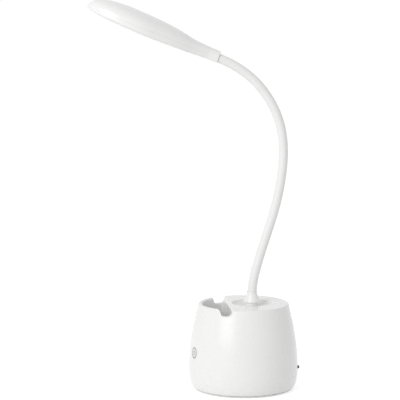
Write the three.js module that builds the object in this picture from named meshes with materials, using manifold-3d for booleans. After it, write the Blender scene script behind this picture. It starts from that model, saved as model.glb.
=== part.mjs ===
// A rechargeable desk lamp whose round base is also a pen holder.
// Millimetres, Z up, the front towards -Y. The origin lies on the desk, under
// the middle of the base's anti-slip pad.

import * as THREE from 'three';
import { mergeVertices } from 'three/addons/utils/BufferGeometryUtils.js';
import Module from 'manifold-3d';

const wasm = await Module();
wasm.setup();

// Clearances that every piece shares
const gap = 0.3; // between neighbouring pieces
const overrun = 3; // how far a cut runs past the face that it opens
const weld = 0.0001; // points closer than this are one point

// Counts of facets
const potSides = 48;
const hollowSides = 28;
const wellSides = 28;
const neckSides = 12;
const coreSides = 8;
const smallSides = 10;
const screwSides = 8;
const arcSteps = 4;
const sideSteps = 8; // in the pot's side above its belly
const fineSteps = 60; // where a radius is read off a curve

// Pot of the base
const potHeight = 95;
const deskGap = 0.8; // from the desk to the cover's flat underside
const bellyRadius = 60;
const bellyHeight = 22;
const bellyRise = 26; // how far up the belly's curve stays upright
const bellyDrop = 11; // and how far down
const footInset = 7.5; // from the belly in to the flat underside's edge
const footReach = 4.5; // how far the underside's curve stays flat outwards
const rimInset = 10; // from the belly in to the rim
const rimRound = 1.8;
const shoulderLean = 6; // the side's slope under the rim, out and down
const shoulderDrop = 24;
const potWall = 2.4;
const deckThickness = 2.6;
const partingHeight = 2.2; // where the bottom cover meets the shell, on the foot's curve
const lipWall = 2.2; // the shell's wall at that edge

// Shallow dish in the deck, where the neck comes out
const wellY = 9.4;
const wellRadius = 23.4; // at the deck
const wellFloorRadius = 16.5;
const wellDepth = 3;
const wellWall = 2.4;
const deckStrip = 3.5; // flat deck between the well's edge and the pen pocket

// Pen pocket in the front of the pot
const pocketFloor = 20; // height of its floor over the desk
const pocketWall = 1.8;
const pocketDraft = 1.6; // how much narrower the pocket is at its floor
const pocketCorner = 3.5;
const rimWall = 3.4;
const rimEase = 1.2; // soft edge of the pocket at the rim
const rimSolidDepth = 12; // the rim round the pocket is solid this far down

// Notches in the rim that hold a phone upright
const notchDepth = 8.5;
const notchFloor = 9.5;
const notchMouth = 14.5;
const notchRound = 2.5; // at the front of its floor
const notchFaceRound = 5; // at the back of its floor, under the deck's block
const notchCornerRound = 5.2; // upright edge of the deck's block beside a notch
const notchCornerSteps = 4;

// Screw bosses of the pot, and the screws of the bottom cover
const coverScrewAngle = 45;
const bossInset = 3.5; // from the underside's edge in to the screws
const bossRadius = 3.6;
const bossHeight = 18;
const bossRibThickness = 2;
const screwRadius = 1.4;
const screwHeadRadius = 2.7;
const screwHeadHeight = 1.8;
const coverScrewLength = 13;

// Bottom cover, pad and ballast
const coverFloor = 2.4;
const coverSpigotHeight = 5;
const coverSpigotWall = 1.8;
const padEdge = 2; // between the screws' heads and the pad
const padThickness = 1.8;
const padRecess = 1.3;
const ballastInset = 2; // from the pad's edge in to the ballast's
const ballastThickness = 4;
const ballastRibHeight = 3;
const ballastRibWall = 1.6;

// Tray with the cell and the circuit board
const trayEnd = 0.6; // beyond the cradle at each end
const trayFront = 5; // in front of the cradle
const trayBack = 2.3; // from the board's back edge to the tray's
const trayFloor = 2;
const trayRound = 12;
const trayScrewAngle = 31; // from the pot's back, to each side
const trayScrewInset = 5.2; // from the tray's round edge
const trayScrewLength = 8;
const cradleWall = 1.6;
const cradleHeight = 9;
const cellRadius = 9.2;
const cellLength = 65;
const cellSetback = 2.8; // between the cell and the board
const cellTipRadius = 2.8;
const cellTipHeight = 1;
const cellCrimp = 0.5;
const boardLength = 30;
const boardDepth = 18.3;
const boardSetback = 3.2; // from the pot's wall to the board's back corners
const boardThickness = 1.6;
const boardHeight = 19.2;
const boardPostRadius = 2;
const boardPostInset = 3;

// Slide switch and charging socket at the back of the pot
const switchX = 8;
const switchLength = 9;
const switchDepth = 5;
const switchHeight = 5;
const switchSetback = 1.7; // from the pot's wall to the switch body
const switchSlotDepth = 1.2;
const knobLength = 4;
const knobHeight = 3;
const knobProud = 1.7;
const knobTravel = 2.5;
const knobRib = 0.5;
const windowClearance = 0.4;
const socketX = -9;
const socketWidth = 9;
const socketHeight = 3.3;
const socketDepth = 7.4;
const socketWall = 0.5;
const socketSink = 1.6; // how far the socket's mouth lies inside the pot's skin
const tongueThickness = 0.7;

// Touch button on the pot's left front, as seen from the lamp
const touchAngle = 18.5; // from the front towards +X
const touchHeight = 43.7;
const touchRadius = 6;
const touchThickness = 1.3;
const sensorSize = 12;
const sensorThickness = 1;

// Collar and nut that hold the neck
const collarHeight = 15;
const collarTopRadius = 5.7;
const collarWaistRadius = 6.5; // at the cone's top
const collarConeRadius = 9.3; // at its foot
const collarConeLow = 5; // its foot's height above the collar's
const collarConeHollow = 0.3; // how far its side curves in
const collarSeam = 0.5; // small step between the cone and its spreading skirt
const collarSkirtRadius = 14.5;
const collarSkirtSpread = 0.9; // how far out the skirt's side is when it has nearly come down
const collarFootEdge = 0.5;
const collarStep = 0.35;
const collarStepHeight = 2.6;
const collarSides = 18;
const nutRadius = 8.5;
const nutHeight = 5;
const footThreadRadius = 4;
const footBelow = 9; // how far the neck's foot reaches below the well's floor
const footAbove = 5; // and how far its thread stands above it

// Gooseneck: ten equal arcs, each turning about a pivot in its middle
const neckStartRise = 9; // above the well's floor
const neckPitch = 29.8;
const neckBendAngles = [15, 3, -0.5, -6, -6, -11.5, -17, -15.5, -17, -13];
const sleeveRadius = 5;
const sleeveWall = 1.2;
const sleeveSteps = 3;
const coreSteps = 2;
const coreRadius = 2.9;
const coreBore = 1.5;
const leadRadius = 1;
const leadSides = 6;
const leadSteps = 64;
const leadPointPitch = 10;
const cupDepth = 2; // how far below its pivot a socket's edge lies

// Lamp head, laid along the neck's last direction
const headLength = 152;
const headHalfWidth = 32;
const headRise = 16.8;
const headDrop = 7.4;
const headWall = 1.8;
const endRingLength = 12; // the ring at the neck's end of the head
const headEndWall = 7; // of the head behind the ring
const headSections = 12;
const headSides = 24;
const ferruleWall = 0.7;
const ferruleStart = 1.5;
const ferruleTail = 13; // behind its flange
const flangeRadius = 4.6;
const flangeSetback = 2.7; // inside the head's two halves
const flangeThickness = 1.6;
const flangeFlat = 3.9; // height of the flat that keeps the ferrule from turning

// Light unit in the head
const lightStart = 44;
const lightEnd = 20; // from the light unit to the head's tip
const lightHalfWidth = 21;
const lightSides = 24;
const seatDepth = 4.4; // the diffuser's seat in the frame, below the parting
const seatWall = 1.2;
const diffuserFlange = 2.5;
const diffuserFlangeThickness = 1;
const diffuserSink = 0.4; // how far the diffuser's face lies inside the head's skin
const reflectorHeight = 3.8;
const reflectorInset = 1;
const reflectorWall = 1.4;
const ledBoardThickness = 1.4;
const ledRows = 2;
const ledMargin = 14; // from the light unit's ends to the outer lights
const ledSize = 3;
const ledHeight = 0.7;
const ledPitchAlong = 12;
const ledPitchAcross = 14;
const pressPostRadius = 2.5;
const pressPostInset = 16; // each post's place from the light unit's end
const headScrewRadius = 1.2;
const headScrewHeadRadius = 2.2;
const headScrewHeadHeight = 1.5;
const headScrewLength = 8;
const headBossRadius = 2.6;
const headBossHeight = 10;
const headScrewX = 9.2;
const headScrewZ = 36.5;

// The lead's loose stretches, as places chosen by hand. In the pot they are Y and Z
// from the main board up to the neck's foot, in the head Y and Z of the head's frame.
const leadInPot = [[42, 27], [38, 38], [24, 52], [12, 62], [9.4, 72]];
const leadInHead = [[0, 32.5], [1.8, 37], [6, 43.5], [7.5, 48], [6, 51.5]];

// Head outline: place along the head, then rise, drop and half width there
const headOutlineShares = [
  [0, 0.45, 0.75, 0.2],
  [0.05, 0.465, 0.755, 0.212],
  [0.1, 0.485, 0.77, 0.245],
  [0.2, 0.555, 0.86, 0.4],
  [0.32, 0.765, 0.95, 0.64],
  [0.45, 0.905, 1, 0.84],
  [0.6, 0.98, 0.98, 1],
  [0.75, 1, 0.85, 0.96],
  [0.87, 0.89, 0.7, 0.77],
  [0.95, 0.65, 0.5, 0.51],
  [0.985, 0.37, 0.28, 0.29],
  [1, 0.12, 0.1, 0.1],
];
const headRoundPower = 2.2; // a plain ellipse has 2, a fuller section more
const headFlatPower = 5;

// Colours, roughness and metalness
const whitePlastic = { color: 0xf4f4f2, roughness: 0.22, metalness: 0 };
const silicone = { color: 0xf2f2f0, roughness: 0.5, metalness: 0 };
const frosted = { color: 0xf8f8f4, roughness: 0.6, metalness: 0 };
const greyPlastic = { color: 0xe2e2e0, roughness: 0.4, metalness: 0 };
const blackPlastic = { color: 0x1c1c1e, roughness: 0.45, metalness: 0 };
const foam = { color: 0x2a2a2b, roughness: 0.9, metalness: 0 };
const steel = { color: 0xa8abae, roughness: 0.35, metalness: 1 };
const brass = { color: 0xb8964e, roughness: 0.3, metalness: 1 };
const boardGreen = { color: 0x1f5b3a, roughness: 0.6, metalness: 0 };
const boardWhite = { color: 0xe9ebea, roughness: 0.5, metalness: 0 };
const cellWrap = { color: 0x2f6fa8, roughness: 0.35, metalness: 0 };
const leadWhite = { color: 0xd8d8d6, roughness: 0.6, metalness: 0 };

const quarter = Math.PI / 2;
const turn = Math.PI * 2;
const degrees = Math.PI / 180;

// Closed bodies and booleans

function solid(geometry) {
  const plain = geometry.index ? geometry.toNonIndexed() : geometry.clone();
  plain.deleteAttribute('normal');
  plain.deleteAttribute('uv');
  const merged = mergeVertices(plain, weld);
  const place = merged.attributes.position;
  const corners = merged.index.array;
  const kept = [];
  let volume = 0;
  const a = new THREE.Vector3();
  const b = new THREE.Vector3();
  const c = new THREE.Vector3();
  for (let i = 0; i < corners.length; i += 3) {
    const [p, q, r] = corners.slice(i, i + 3);
    if (p === q || q === r || r === p) continue;
    kept.push(p, q, r);
    a.fromBufferAttribute(place, p);
    b.fromBufferAttribute(place, q);
    c.fromBufferAttribute(place, r);
    volume += a.dot(b.cross(c));
  }
  if (volume < 0) kept.reverse();
  return new wasm.Manifold(new wasm.Mesh({
    numProp: 3,
    vertProperties: new Float32Array(place.array),
    triVerts: new Uint32Array(kept),
  }));
}

function geometryOf(body) {
  const mesh = body.getMesh();
  const geometry = new THREE.BufferGeometry();
  geometry.setAttribute('position', new THREE.BufferAttribute(mesh.vertProperties, 3));
  geometry.setIndex(new THREE.BufferAttribute(mesh.triVerts, 1));
  geometry.computeVertexNormals();
  return geometry;
}

function union(bodies) {
  return bodies.reduce((all, body) => all.add(body));
}

function piece(name, body, look) {
  const mesh = new THREE.Mesh(geometryOf(body), new THREE.MeshStandardMaterial(look));
  mesh.name = name;
  return mesh;
}

// Shapes

function point(x, y) {
  return new THREE.Vector2(x, y);
}

// Turns a profile of (radius, height) points about the upright axis
function revolve(points, sides = smallSides) {
  return new THREE.LatheGeometry(points, sides).rotateX(quarter);
}

function cylinder(radius, bottom, top, sides = smallSides) {
  const profile = [point(0, bottom), point(radius, bottom), point(radius, top), point(0, top)];
  return revolve(profile, sides);
}

function ring(inner, outer, bottom, top, sides = smallSides) {
  const profile = [
    point(inner, bottom),
    point(outer, bottom),
    point(outer, top),
    point(inner, top),
    point(inner, bottom),
  ];
  return revolve(profile, sides);
}

function box(fromX, toX, fromY, toY, fromZ, toZ) {
  const block = new THREE.BoxGeometry(toX - fromX, toY - fromY, toZ - fromZ);
  return block.translate((fromX + toX) / 2, (fromY + toY) / 2, (fromZ + toZ) / 2);
}

// Points of a round corner about a centre, from one angle to another
function arc(centreX, centreY, radius, from, to, steps = arcSteps) {
  const points = [];
  for (let i = 0; i <= steps; i += 1) {
    const angle = from + ((to - from) * i) / steps;
    points.push(point(centreX + radius * Math.cos(angle), centreY + radius * Math.sin(angle)));
  }
  return points;
}

// Raises a flat outline from one height to another
function prism(outline, bottom, top) {
  const options = { depth: top - bottom, bevelEnabled: false, curveSegments: arcSteps };
  return new THREE.ExtrudeGeometry(new THREE.Shape(outline), options).translate(0, 0, bottom);
}

// Joins rings of points, each as long as the next, into one closed body
function loft(rings) {
  const around = rings[0].length;
  const points = rings.flat();
  const faces = [];
  for (let r = 0; r < rings.length - 1; r += 1) {
    for (let i = 0; i < around; i += 1) {
      const a = r * around + i;
      const b = r * around + ((i + 1) % around);
      faces.push(a, b, b + around, a, b + around, a + around);
    }
  }
  const last = (rings.length - 1) * around;
  for (let i = 1; i < around - 1; i += 1) {
    faces.push(0, i + 1, i);
    faces.push(last, last + i, last + i + 1);
  }
  const geometry = new THREE.BufferGeometry().setFromPoints(points);
  geometry.setIndex(faces);
  return geometry;
}

// Pot: the side's outline, from the underside's edge up to the rim

const footRadius = bellyRadius - footInset;
const rimRadius = bellyRadius - rimInset;
const sideCurve = new THREE.CurvePath();
sideCurve.add(new THREE.CubicBezierCurve(
  point(footRadius, deskGap),
  point(footRadius + footReach, deskGap),
  point(bellyRadius, bellyHeight - bellyDrop),
  point(bellyRadius, bellyHeight),
));
sideCurve.add(new THREE.CubicBezierCurve(
  point(bellyRadius, bellyHeight),
  point(bellyRadius, bellyHeight + bellyRise),
  point(rimRadius + shoulderLean, potHeight - rimRound - shoulderDrop),
  point(rimRadius, potHeight - rimRound),
));
const sidePoints = [
  ...sideCurve.curves[0].getPoints(arcSteps),
  ...sideCurve.curves[1].getPoints(sideSteps).slice(1),
];
const finePoints = sideCurve.curves.flatMap((curve) => curve.getPoints(fineSteps));

// Radius of the pot's side at a height
function sideRadius(height) {
  for (let i = 1; i < finePoints.length; i += 1) {
    const low = finePoints[i - 1];
    const high = finePoints[i];
    if (height <= high.y) {
      const share = (height - low.y) / (high.y - low.y);
      return low.x + (high.x - low.x) * share;
    }
  }
  return rimRadius;
}

const potBody = solid(revolve([
  point(0, deskGap),
  ...sidePoints,
  ...arc(rimRadius - rimRound, potHeight - rimRound, rimRound, 0, quarter, 3).slice(1),
  point(0, potHeight),
], potSides));
const partingGap = gap / 2;

function slabBelow(height) {
  const far = bellyRadius + overrun;
  return solid(box(-far, far, -far, far, -overrun, height));
}

// Hollow for the lamp's works: the side's outline drawn in by the wall
const lipRadius = sideRadius(partingHeight) - lipWall;
const hollowTop = potHeight - deckThickness;
const hollowWall = sideCurve.curves[1].getPoints(sideSteps / 2)
  .filter((p) => p.y > bellyHeight && p.y < hollowTop)
  .map((p) => point(p.x - potWall, p.y));
const hollowProfile = [
  point(lipRadius, -overrun),
  point(lipRadius, partingHeight + coverSpigotHeight + gap),
  point(bellyRadius - potWall, bellyHeight),
  ...hollowWall,
  point(sideRadius(hollowTop) - potWall, hollowTop),
];
const hollowBody = solid(revolve([
  point(0, -overrun),
  ...hollowProfile,
  point(0, hollowTop),
], hollowSides));

// The least distance from the axis to the hollow's faceted side at a height
function hollowRadius(height) {
  for (let i = 1; i < hollowProfile.length; i += 1) {
    const low = hollowProfile[i - 1];
    const high = hollowProfile[i];
    if (height <= high.y) {
      const share = (height - low.y) / (high.y - low.y);
      return (low.x + (high.x - low.x) * share) * Math.cos(turn / 2 / hollowSides);
    }
  }
  return rimRadius - potWall;
}

// Well: a dish whose side sweeps up to the deck, and the cup that it makes below the deck
const wellFloor = potHeight - wellDepth;
const wellSweep = (wellRadius - wellFloorRadius) / 2;
const wellSide = new THREE.CubicBezierCurve(
  point(wellFloorRadius, wellFloor),
  point(wellFloorRadius + wellSweep, wellFloor),
  point(wellRadius - wellSweep, potHeight),
  point(wellRadius, potHeight),
);
const wellCut = solid(revolve([
  point(0, wellFloor),
  ...wellSide.getPoints(arcSteps),
  point(wellRadius, potHeight + overrun),
  point(0, potHeight + overrun),
], wellSides)).translate(0, wellY, 0);
const wellCup = solid(revolve([
  point(0, wellFloor - wellWall),
  point(wellFloorRadius + wellWall, wellFloor - wellWall),
  point(wellRadius, potHeight - deckThickness + gap),
  point(0, potHeight - deckThickness + gap),
], wellSides)).translate(0, wellY, 0);

// Pocket: a D in plan, with rounded corners, narrowing to its floor
const pocketFaceY = wellY - wellRadius - deckStrip;
const pocketRadius = rimRadius - rimWall;
const pocketDepth = potHeight - pocketFloor;

function dOutline(radius, faceY, corner) {
  const cornerY = faceY - corner;
  const cornerX = Math.sqrt((radius - corner) ** 2 - cornerY ** 2);
  const reach = Math.atan2(cornerY, cornerX);
  const roundSteps = arcSteps / 2 + 1;
  return [
    ...arc(cornerX, cornerY, corner, quarter, reach, roundSteps),
    ...arc(0, 0, radius, reach, -2 * quarter - reach, arcSteps * 3).slice(1, -1),
    ...arc(-cornerX, cornerY, corner, -2 * quarter - reach, -3 * quarter, roundSteps),
  ];
}

// Joins an outline's shapes at several heights
function drafted(outlineAt, heights) {
  return loft(heights.map((height) => outlineAt(height)
    .map((p) => new THREE.Vector3(p.x, p.y, height))));
}

function pocketOutline(height, wall) {
  const narrowing = (pocketDraft * (potHeight - height)) / pocketDepth;
  const radius = pocketRadius - narrowing + wall;
  return dOutline(radius, pocketFaceY + wall, pocketCorner + wall);
}

const easeLow = potHeight - rimEase;
const pocketCut = solid(drafted(
  (height) => pocketOutline(height, Math.max(height - easeLow, 0)),
  [pocketFloor, easeLow, potHeight + overrun],
));
const pocketCup = solid(drafted(
  (height) => pocketOutline(height, pocketWall), [pocketFloor - pocketWall, potHeight],
));
const rimBlock = solid(box(
  -bellyRadius, bellyRadius, -bellyRadius, pocketFaceY + pocketWall,
  potHeight - rimSolidDepth, potHeight,
));

// Notches: one groove through the rim on both sides, whose back is the pocket's flat face
const notchLow = potHeight - notchDepth;
const notchLean = Math.atan2(notchMouth - notchFloor, notchDepth);
const notchFaceY = pocketFaceY;
const notchFrontY = notchFaceY - notchFloor;
const notchRun = notchRound * Math.tan((quarter - notchLean) / 2);
const notchOutline = [
  point(notchFaceY + rimEase + overrun, potHeight + overrun),
  point(notchFaceY, easeLow),
  ...arc(notchFaceY - notchFaceRound, notchLow + notchFaceRound, notchFaceRound, 0, -quarter),
  ...arc(notchFrontY + notchRun, notchLow + notchRound, notchRound,
    -quarter, -2 * quarter + notchLean, 3),
  point(notchFrontY - (notchDepth + overrun) * Math.tan(notchLean), potHeight + overrun),
];
// The outline's first axis is the lamp's Y and its second the lamp's Z
const notchCut = solid(
  prism(notchOutline, -bellyRadius - overrun, bellyRadius + overrun)
    .rotateY(quarter).rotateX(quarter),
);

// Rounds the upright edge between the block's face and the pot's side. The round dies
// away down the face's own curve, to nothing at the notch's floor.
function blockEdgeCut(side) {
  const outlineAt = (height) => {
    const climb = Math.min((height - notchLow) / notchFaceRound, 1);
    const faceY = notchFaceY - notchFaceRound * (1 - Math.sqrt(1 - (1 - climb) ** 2));
    const round = Math.max(notchCornerRound * Math.sin(quarter * climb), weld);
    const radius = sideRadius(height);
    const centreY = faceY + round;
    const centreX = Math.sqrt((radius - round) ** 2 - centreY ** 2);
    const lean = Math.atan2(centreY, centreX);
    return [
      ...arc(centreX, centreY, round, -quarter, lean),
      point(radius + overrun, centreY),
      point(radius + overrun, faceY - overrun),
      point(centreX, faceY - overrun),
    ].map((p) => point(side * p.x, p.y));
  };
  const heights = [];
  for (let i = 0; i <= notchCornerSteps; i += 1) {
    heights.push(notchLow + (notchFaceRound * i) / notchCornerSteps);
  }
  return solid(drafted(outlineAt, [...heights, potHeight + overrun]));
}

// Bosses for the cover's screws, each tied to the pot's side by a rib
const coverScrewAngles = [coverScrewAngle, 180 - coverScrewAngle,
  180 + coverScrewAngle, 360 - coverScrewAngle].map((angle) => angle * degrees);
const bossCircle = footRadius - bossInset;
const coverTop = padRecess + deskGap + coverFloor;
const bossLow = coverTop + gap;

function boss(angle) {
  const post = solid(cylinder(bossRadius, bossLow, bossLow + bossHeight))
    .translate(bossCircle, 0, 0);
  const ribLow = partingHeight + coverSpigotHeight + 2 * gap;
  const ribReach = sideRadius(ribLow) - potWall / 2;
  const rib = solid(box(
    bossCircle, ribReach, -bossRibThickness / 2, bossRibThickness / 2,
    ribLow, bossLow + bossHeight,
  ));
  return post.add(rib).rotate(0, 0, angle / degrees);
}

function bossBore(angle) {
  const depth = coverScrewLength + overrun;
  return solid(cylinder(screwRadius + gap, deskGap, deskGap + depth))
    .translate(bossCircle * Math.cos(angle), bossCircle * Math.sin(angle), 0);
}

// Back wall openings
const boardTop = boardHeight + boardThickness;
const boardBackY = Math.sqrt(
  (bellyRadius - potWall - boardSetback) ** 2 - (boardLength / 2) ** 2,
);
const boardFrontY = boardBackY - boardDepth;
const switchBack = Math.sqrt(
  (bellyRadius - potWall - switchSetback) ** 2 - (switchX + switchLength / 2) ** 2,
);
const partsHeight = boardTop + gap; // underside of what stands on the board
const knobHeightMiddle = partsHeight + switchHeight / 2;
const knobX = switchX - knobTravel / 2;
const windowReach = knobTravel / 2 + knobLength / 2 + windowClearance;
const windowBody = solid(box(
  switchX - windowReach, switchX + windowReach, switchBack, bellyRadius + overrun,
  knobHeightMiddle - knobHeight / 2 - windowClearance,
  knobHeightMiddle + knobHeight / 2 + windowClearance,
));
const socketWindow = solid(box(
  socketX - socketWidth / 2 - gap, socketX + socketWidth / 2 + gap,
  boardBackY, bellyRadius + overrun,
  partsHeight - gap, partsHeight + socketHeight + gap,
));

// Touch button, cut from the pot's own skin so that it lies flush
function touchAxis(geometry) {
  return geometry.rotateX(quarter).rotateZ(touchAngle * degrees).translate(0, 0, touchHeight);
}

const touchSkin = sideRadius(touchHeight);
const touchBack = touchSkin - touchThickness;
const touchSeat = solid(touchAxis(cylinder(
  touchRadius + gap, touchBack - gap, touchSkin + overrun,
)));

const potShell = potBody
  .subtract(slabBelow(partingHeight + partingGap))
  .subtract(union([
    hollowBody.subtract(wellCup).subtract(pocketCup).subtract(rimBlock)
      .subtract(union(coverScrewAngles.map(boss))),
    wellCut,
    pocketCut,
    notchCut,
    blockEdgeCut(1),
    blockEdgeCut(-1),
    windowBody,
    socketWindow,
    touchSeat,
    solid(cylinder(footThreadRadius + gap, wellFloor - 2 * wellWall, potHeight))
      .translate(0, wellY, 0),
    ...coverScrewAngles.map(bossBore),
  ]));

const base = new THREE.Group();
base.add(piece('base_shell', potShell, whitePlastic));

// Bottom cover: the pot's own lower edge, a spigot inside the shell and the pad's recess
const spigotRadius = lipRadius - gap;
const spigotTop = partingHeight + coverSpigotHeight;
const recessTop = deskGap + padRecess;
const coverCounterbore = screwHeadHeight + gap;
const padRadius = bossCircle - screwHeadRadius - padEdge;
const ballastRadius = padRadius - ballastInset;

function coverScrewHole(angle) {
  const place = [bossCircle * Math.cos(angle), bossCircle * Math.sin(angle), 0];
  return solid(cylinder(screwRadius + gap, 0, coverTop + overrun))
    .add(solid(cylinder(screwHeadRadius + gap, 0, deskGap + coverCounterbore)))
    .translate(...place);
}

// A short wall stops at the bosses, so it is cut back round each
function bossClearance(angle) {
  return solid(cylinder(bossRadius + gap, coverTop, potHeight))
    .translate(bossCircle * Math.cos(angle), bossCircle * Math.sin(angle), 0);
}

const traySeat = coverTop + gap + ballastThickness + gap; // underside of the tray
const trayBackY = boardBackY - trayBack;
const trayLimit = hollowRadius(traySeat) - gap;
const trayScrewPlaces = [-1, 1].map((side) => [
  side * (trayLimit - trayScrewInset) * Math.sin(trayScrewAngle * degrees),
  (trayLimit - trayScrewInset) * Math.cos(trayScrewAngle * degrees),
]);
const trayScrewHead = traySeat + trayFloor + gap;
const trayScrewTip = trayScrewHead - trayScrewLength;
const bottomCover = potBody
  .intersect(slabBelow(partingHeight - partingGap))
  .add(solid(cylinder(spigotRadius, partingHeight - gap, spigotTop, hollowSides)))
  .subtract(solid(cylinder(spigotRadius - coverSpigotWall, coverTop, potHeight, hollowSides)))
  .add(solid(ring(
    ballastRadius + gap, ballastRadius + gap + ballastRibWall,
    coverTop - gap, coverTop + ballastRibHeight, hollowSides,
  )))
  .subtract(union([
    solid(cylinder(padRadius + gap, -overrun, recessTop, hollowSides)),
    ...coverScrewAngles.map(coverScrewHole),
    ...coverScrewAngles.map(bossClearance),
    ...trayScrewPlaces.map(([x, y]) => solid(
      cylinder(screwRadius + gap, trayScrewTip - gap, potHeight),
    ).translate(x, y, 0)),
  ]));
base.add(piece('bottom_cover', bottomCover, whitePlastic));

const pad = solid(cylinder(padRadius, 0, padThickness, hollowSides));
base.add(piece('anti_slip_pad', pad, foam));

const ballastLow = coverTop + gap;
const ballast = solid(cylinder(ballastRadius, ballastLow, ballastLow + ballastThickness, hollowSides))
  .subtract(union(trayScrewPlaces.map(([x, y]) => solid(
    cylinder(screwRadius + gap, 0, potHeight),
  ).translate(x, y, 0))));
base.add(piece('ballast_plate', ballast, steel));

// A pan-head screw, its head's underside at height zero and its shank upwards
function screw(radius, headRadius, headHeight, length) {
  const slotDepth = headHeight / 2;
  const slotWidth = headRadius / 3;
  const slot = solid(box(
    -headRadius / 2, headRadius / 2, -slotWidth / 2, slotWidth / 2,
    -headHeight - overrun, slotDepth - headHeight,
  ));
  return solid(revolve([
    point(0, -headHeight),
    point(headRadius, -headHeight),
    point(headRadius, 0),
    point(radius, 0),
    point(radius, length),
    point(0, length),
  ], screwSides)).subtract(slot);
}

coverScrewAngles.forEach((angle, i) => {
  const coverScrew = piece(`cover_screw_${i + 1}`, screw(
    screwRadius, screwHeadRadius, screwHeadHeight, coverScrewLength,
  ), steel);
  const place = [bossCircle * Math.cos(angle), bossCircle * Math.sin(angle)];
  coverScrew.position.set(...place, deskGap + screwHeadHeight);
  base.add(coverScrew);
});

// Tray for the cell and the board, screwed down through the ballast
const trayTop = traySeat + trayFloor;
const cellHeight = trayTop + gap + cellRadius;

const cellY = boardFrontY - cellSetback - cellRadius;
const cradleEndX = cellLength / 2 + cellTipHeight + gap;
const cradleSideY = cellRadius + gap;
const trayFrontY = cellY - cradleSideY - cradleWall - trayFront;

function trayOutline() {
  const halfLength = cradleEndX + cradleWall + trayEnd;
  const innerX = halfLength - trayRound;
  return [
    point(halfLength, trayFrontY),
    ...arc(innerX, trayBackY - trayRound, trayRound, 0, quarter),
    ...arc(-innerX, trayBackY - trayRound, trayRound, quarter, 2 * quarter),
    point(-halfLength, trayFrontY),
  ];
}

const boardPostX = boardLength / 2 - boardPostInset;
const boardPostPlaces = [
  [-boardPostX, boardFrontY + boardPostInset],
  [boardPostX, boardFrontY + boardPostInset],
  [0, boardBackY - 2 * boardPostInset],
];
const tray = solid(prism(trayOutline(), traySeat, trayTop))
  .intersect(solid(cylinder(trayLimit, traySeat - overrun, trayTop + overrun, hollowSides)))
  .add(union([-1, 1].flatMap((side) => [
    solid(box(
      side < 0 ? -cradleEndX - cradleWall : cradleEndX,
      side < 0 ? -cradleEndX : cradleEndX + cradleWall,
      cellY - cellRadius, cellY + cellRadius, traySeat, trayTop + cradleHeight,
    )),
    solid(box(
      -cellLength / 2, cellLength / 2,
      cellY + (side < 0 ? -cradleSideY - cradleWall : cradleSideY),
      cellY + (side < 0 ? -cradleSideY : cradleSideY + cradleWall),
      traySeat, trayTop + cradleHeight,
    )),
  ])))
  .add(union(boardPostPlaces.map(([x, y]) => solid(
    cylinder(boardPostRadius, traySeat, boardHeight - gap),
  ).translate(x, y, 0))))
  .subtract(union(coverScrewAngles.map(bossClearance)))
  .subtract(union(trayScrewPlaces.map(([x, y]) => solid(
    cylinder(screwRadius + gap, 0, potHeight),
  ).translate(x, y, 0))));
base.add(piece('electronics_tray', tray, blackPlastic));

trayScrewPlaces.forEach(([x, y], i) => {
  const trayScrew = piece(`tray_screw_${i + 1}`, screw(
    screwRadius, screwHeadRadius, screwHeadHeight, trayScrewLength,
  ), steel);
  trayScrew.rotation.x = Math.PI;
  trayScrew.position.set(x, y, trayScrewHead);
  base.add(trayScrew);
});

const cell = solid(revolve([
  point(0, -cellLength / 2),
  point(cellRadius - cellCrimp, -cellLength / 2),
  point(cellRadius, cellCrimp - cellLength / 2),
  point(cellRadius, cellLength / 2 - cellCrimp),
  point(cellRadius - cellCrimp, cellLength / 2),
  point(cellTipRadius, cellLength / 2),
  point(cellTipRadius, cellLength / 2 + cellTipHeight),
  point(0, cellLength / 2 + cellTipHeight),
]).rotateY(quarter).translate(0, cellY, cellHeight));
base.add(piece('battery_cell', cell, cellWrap));

const board = solid(box(
  -boardLength / 2, boardLength / 2, boardFrontY, boardBackY, boardHeight, boardTop,
));
base.add(piece('main_board', board, boardGreen));

// Charging socket: a metal mouth with its tongue, open to the back
const socketMouthY = Math.sqrt(sideRadius(partsHeight) ** 2 - socketX ** 2) - socketSink;
const socketLeft = socketX - socketWidth / 2;
const socketRight = socketX + socketWidth / 2;
const socketTop = partsHeight + socketHeight;
const socketMiddle = (partsHeight + socketTop) / 2;
const socket = solid(box(
  socketLeft, socketRight, socketMouthY - socketDepth, socketMouthY, partsHeight, socketTop,
)).subtract(solid(box(
  socketLeft + socketWall, socketRight - socketWall,
  socketMouthY - socketDepth + 2 * socketWall, socketMouthY + overrun,
  partsHeight + socketWall, socketTop - socketWall,
))).add(solid(box(
  socketLeft + 3 * socketWall, socketRight - 3 * socketWall,
  socketMouthY - socketDepth + socketWall, socketMouthY - 2 * socketWall,
  socketMiddle - tongueThickness / 2, socketMiddle + tongueThickness / 2,
)));
base.add(piece('charge_socket', socket, steel));

// Slide switch: a body with a slot that its knob's root runs in
const switchBody = solid(box(
  switchX - switchLength / 2, switchX + switchLength / 2,
  switchBack - switchDepth, switchBack, partsHeight, partsHeight + switchHeight,
)).subtract(solid(box(
  switchX - windowReach, switchX + windowReach,
  switchBack - switchSlotDepth, switchBack + overrun,
  knobHeightMiddle - knobHeight / 4 - gap, knobHeightMiddle + knobHeight / 4 + gap,
)));
base.add(piece('switch_body', switchBody, blackPlastic));

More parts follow.
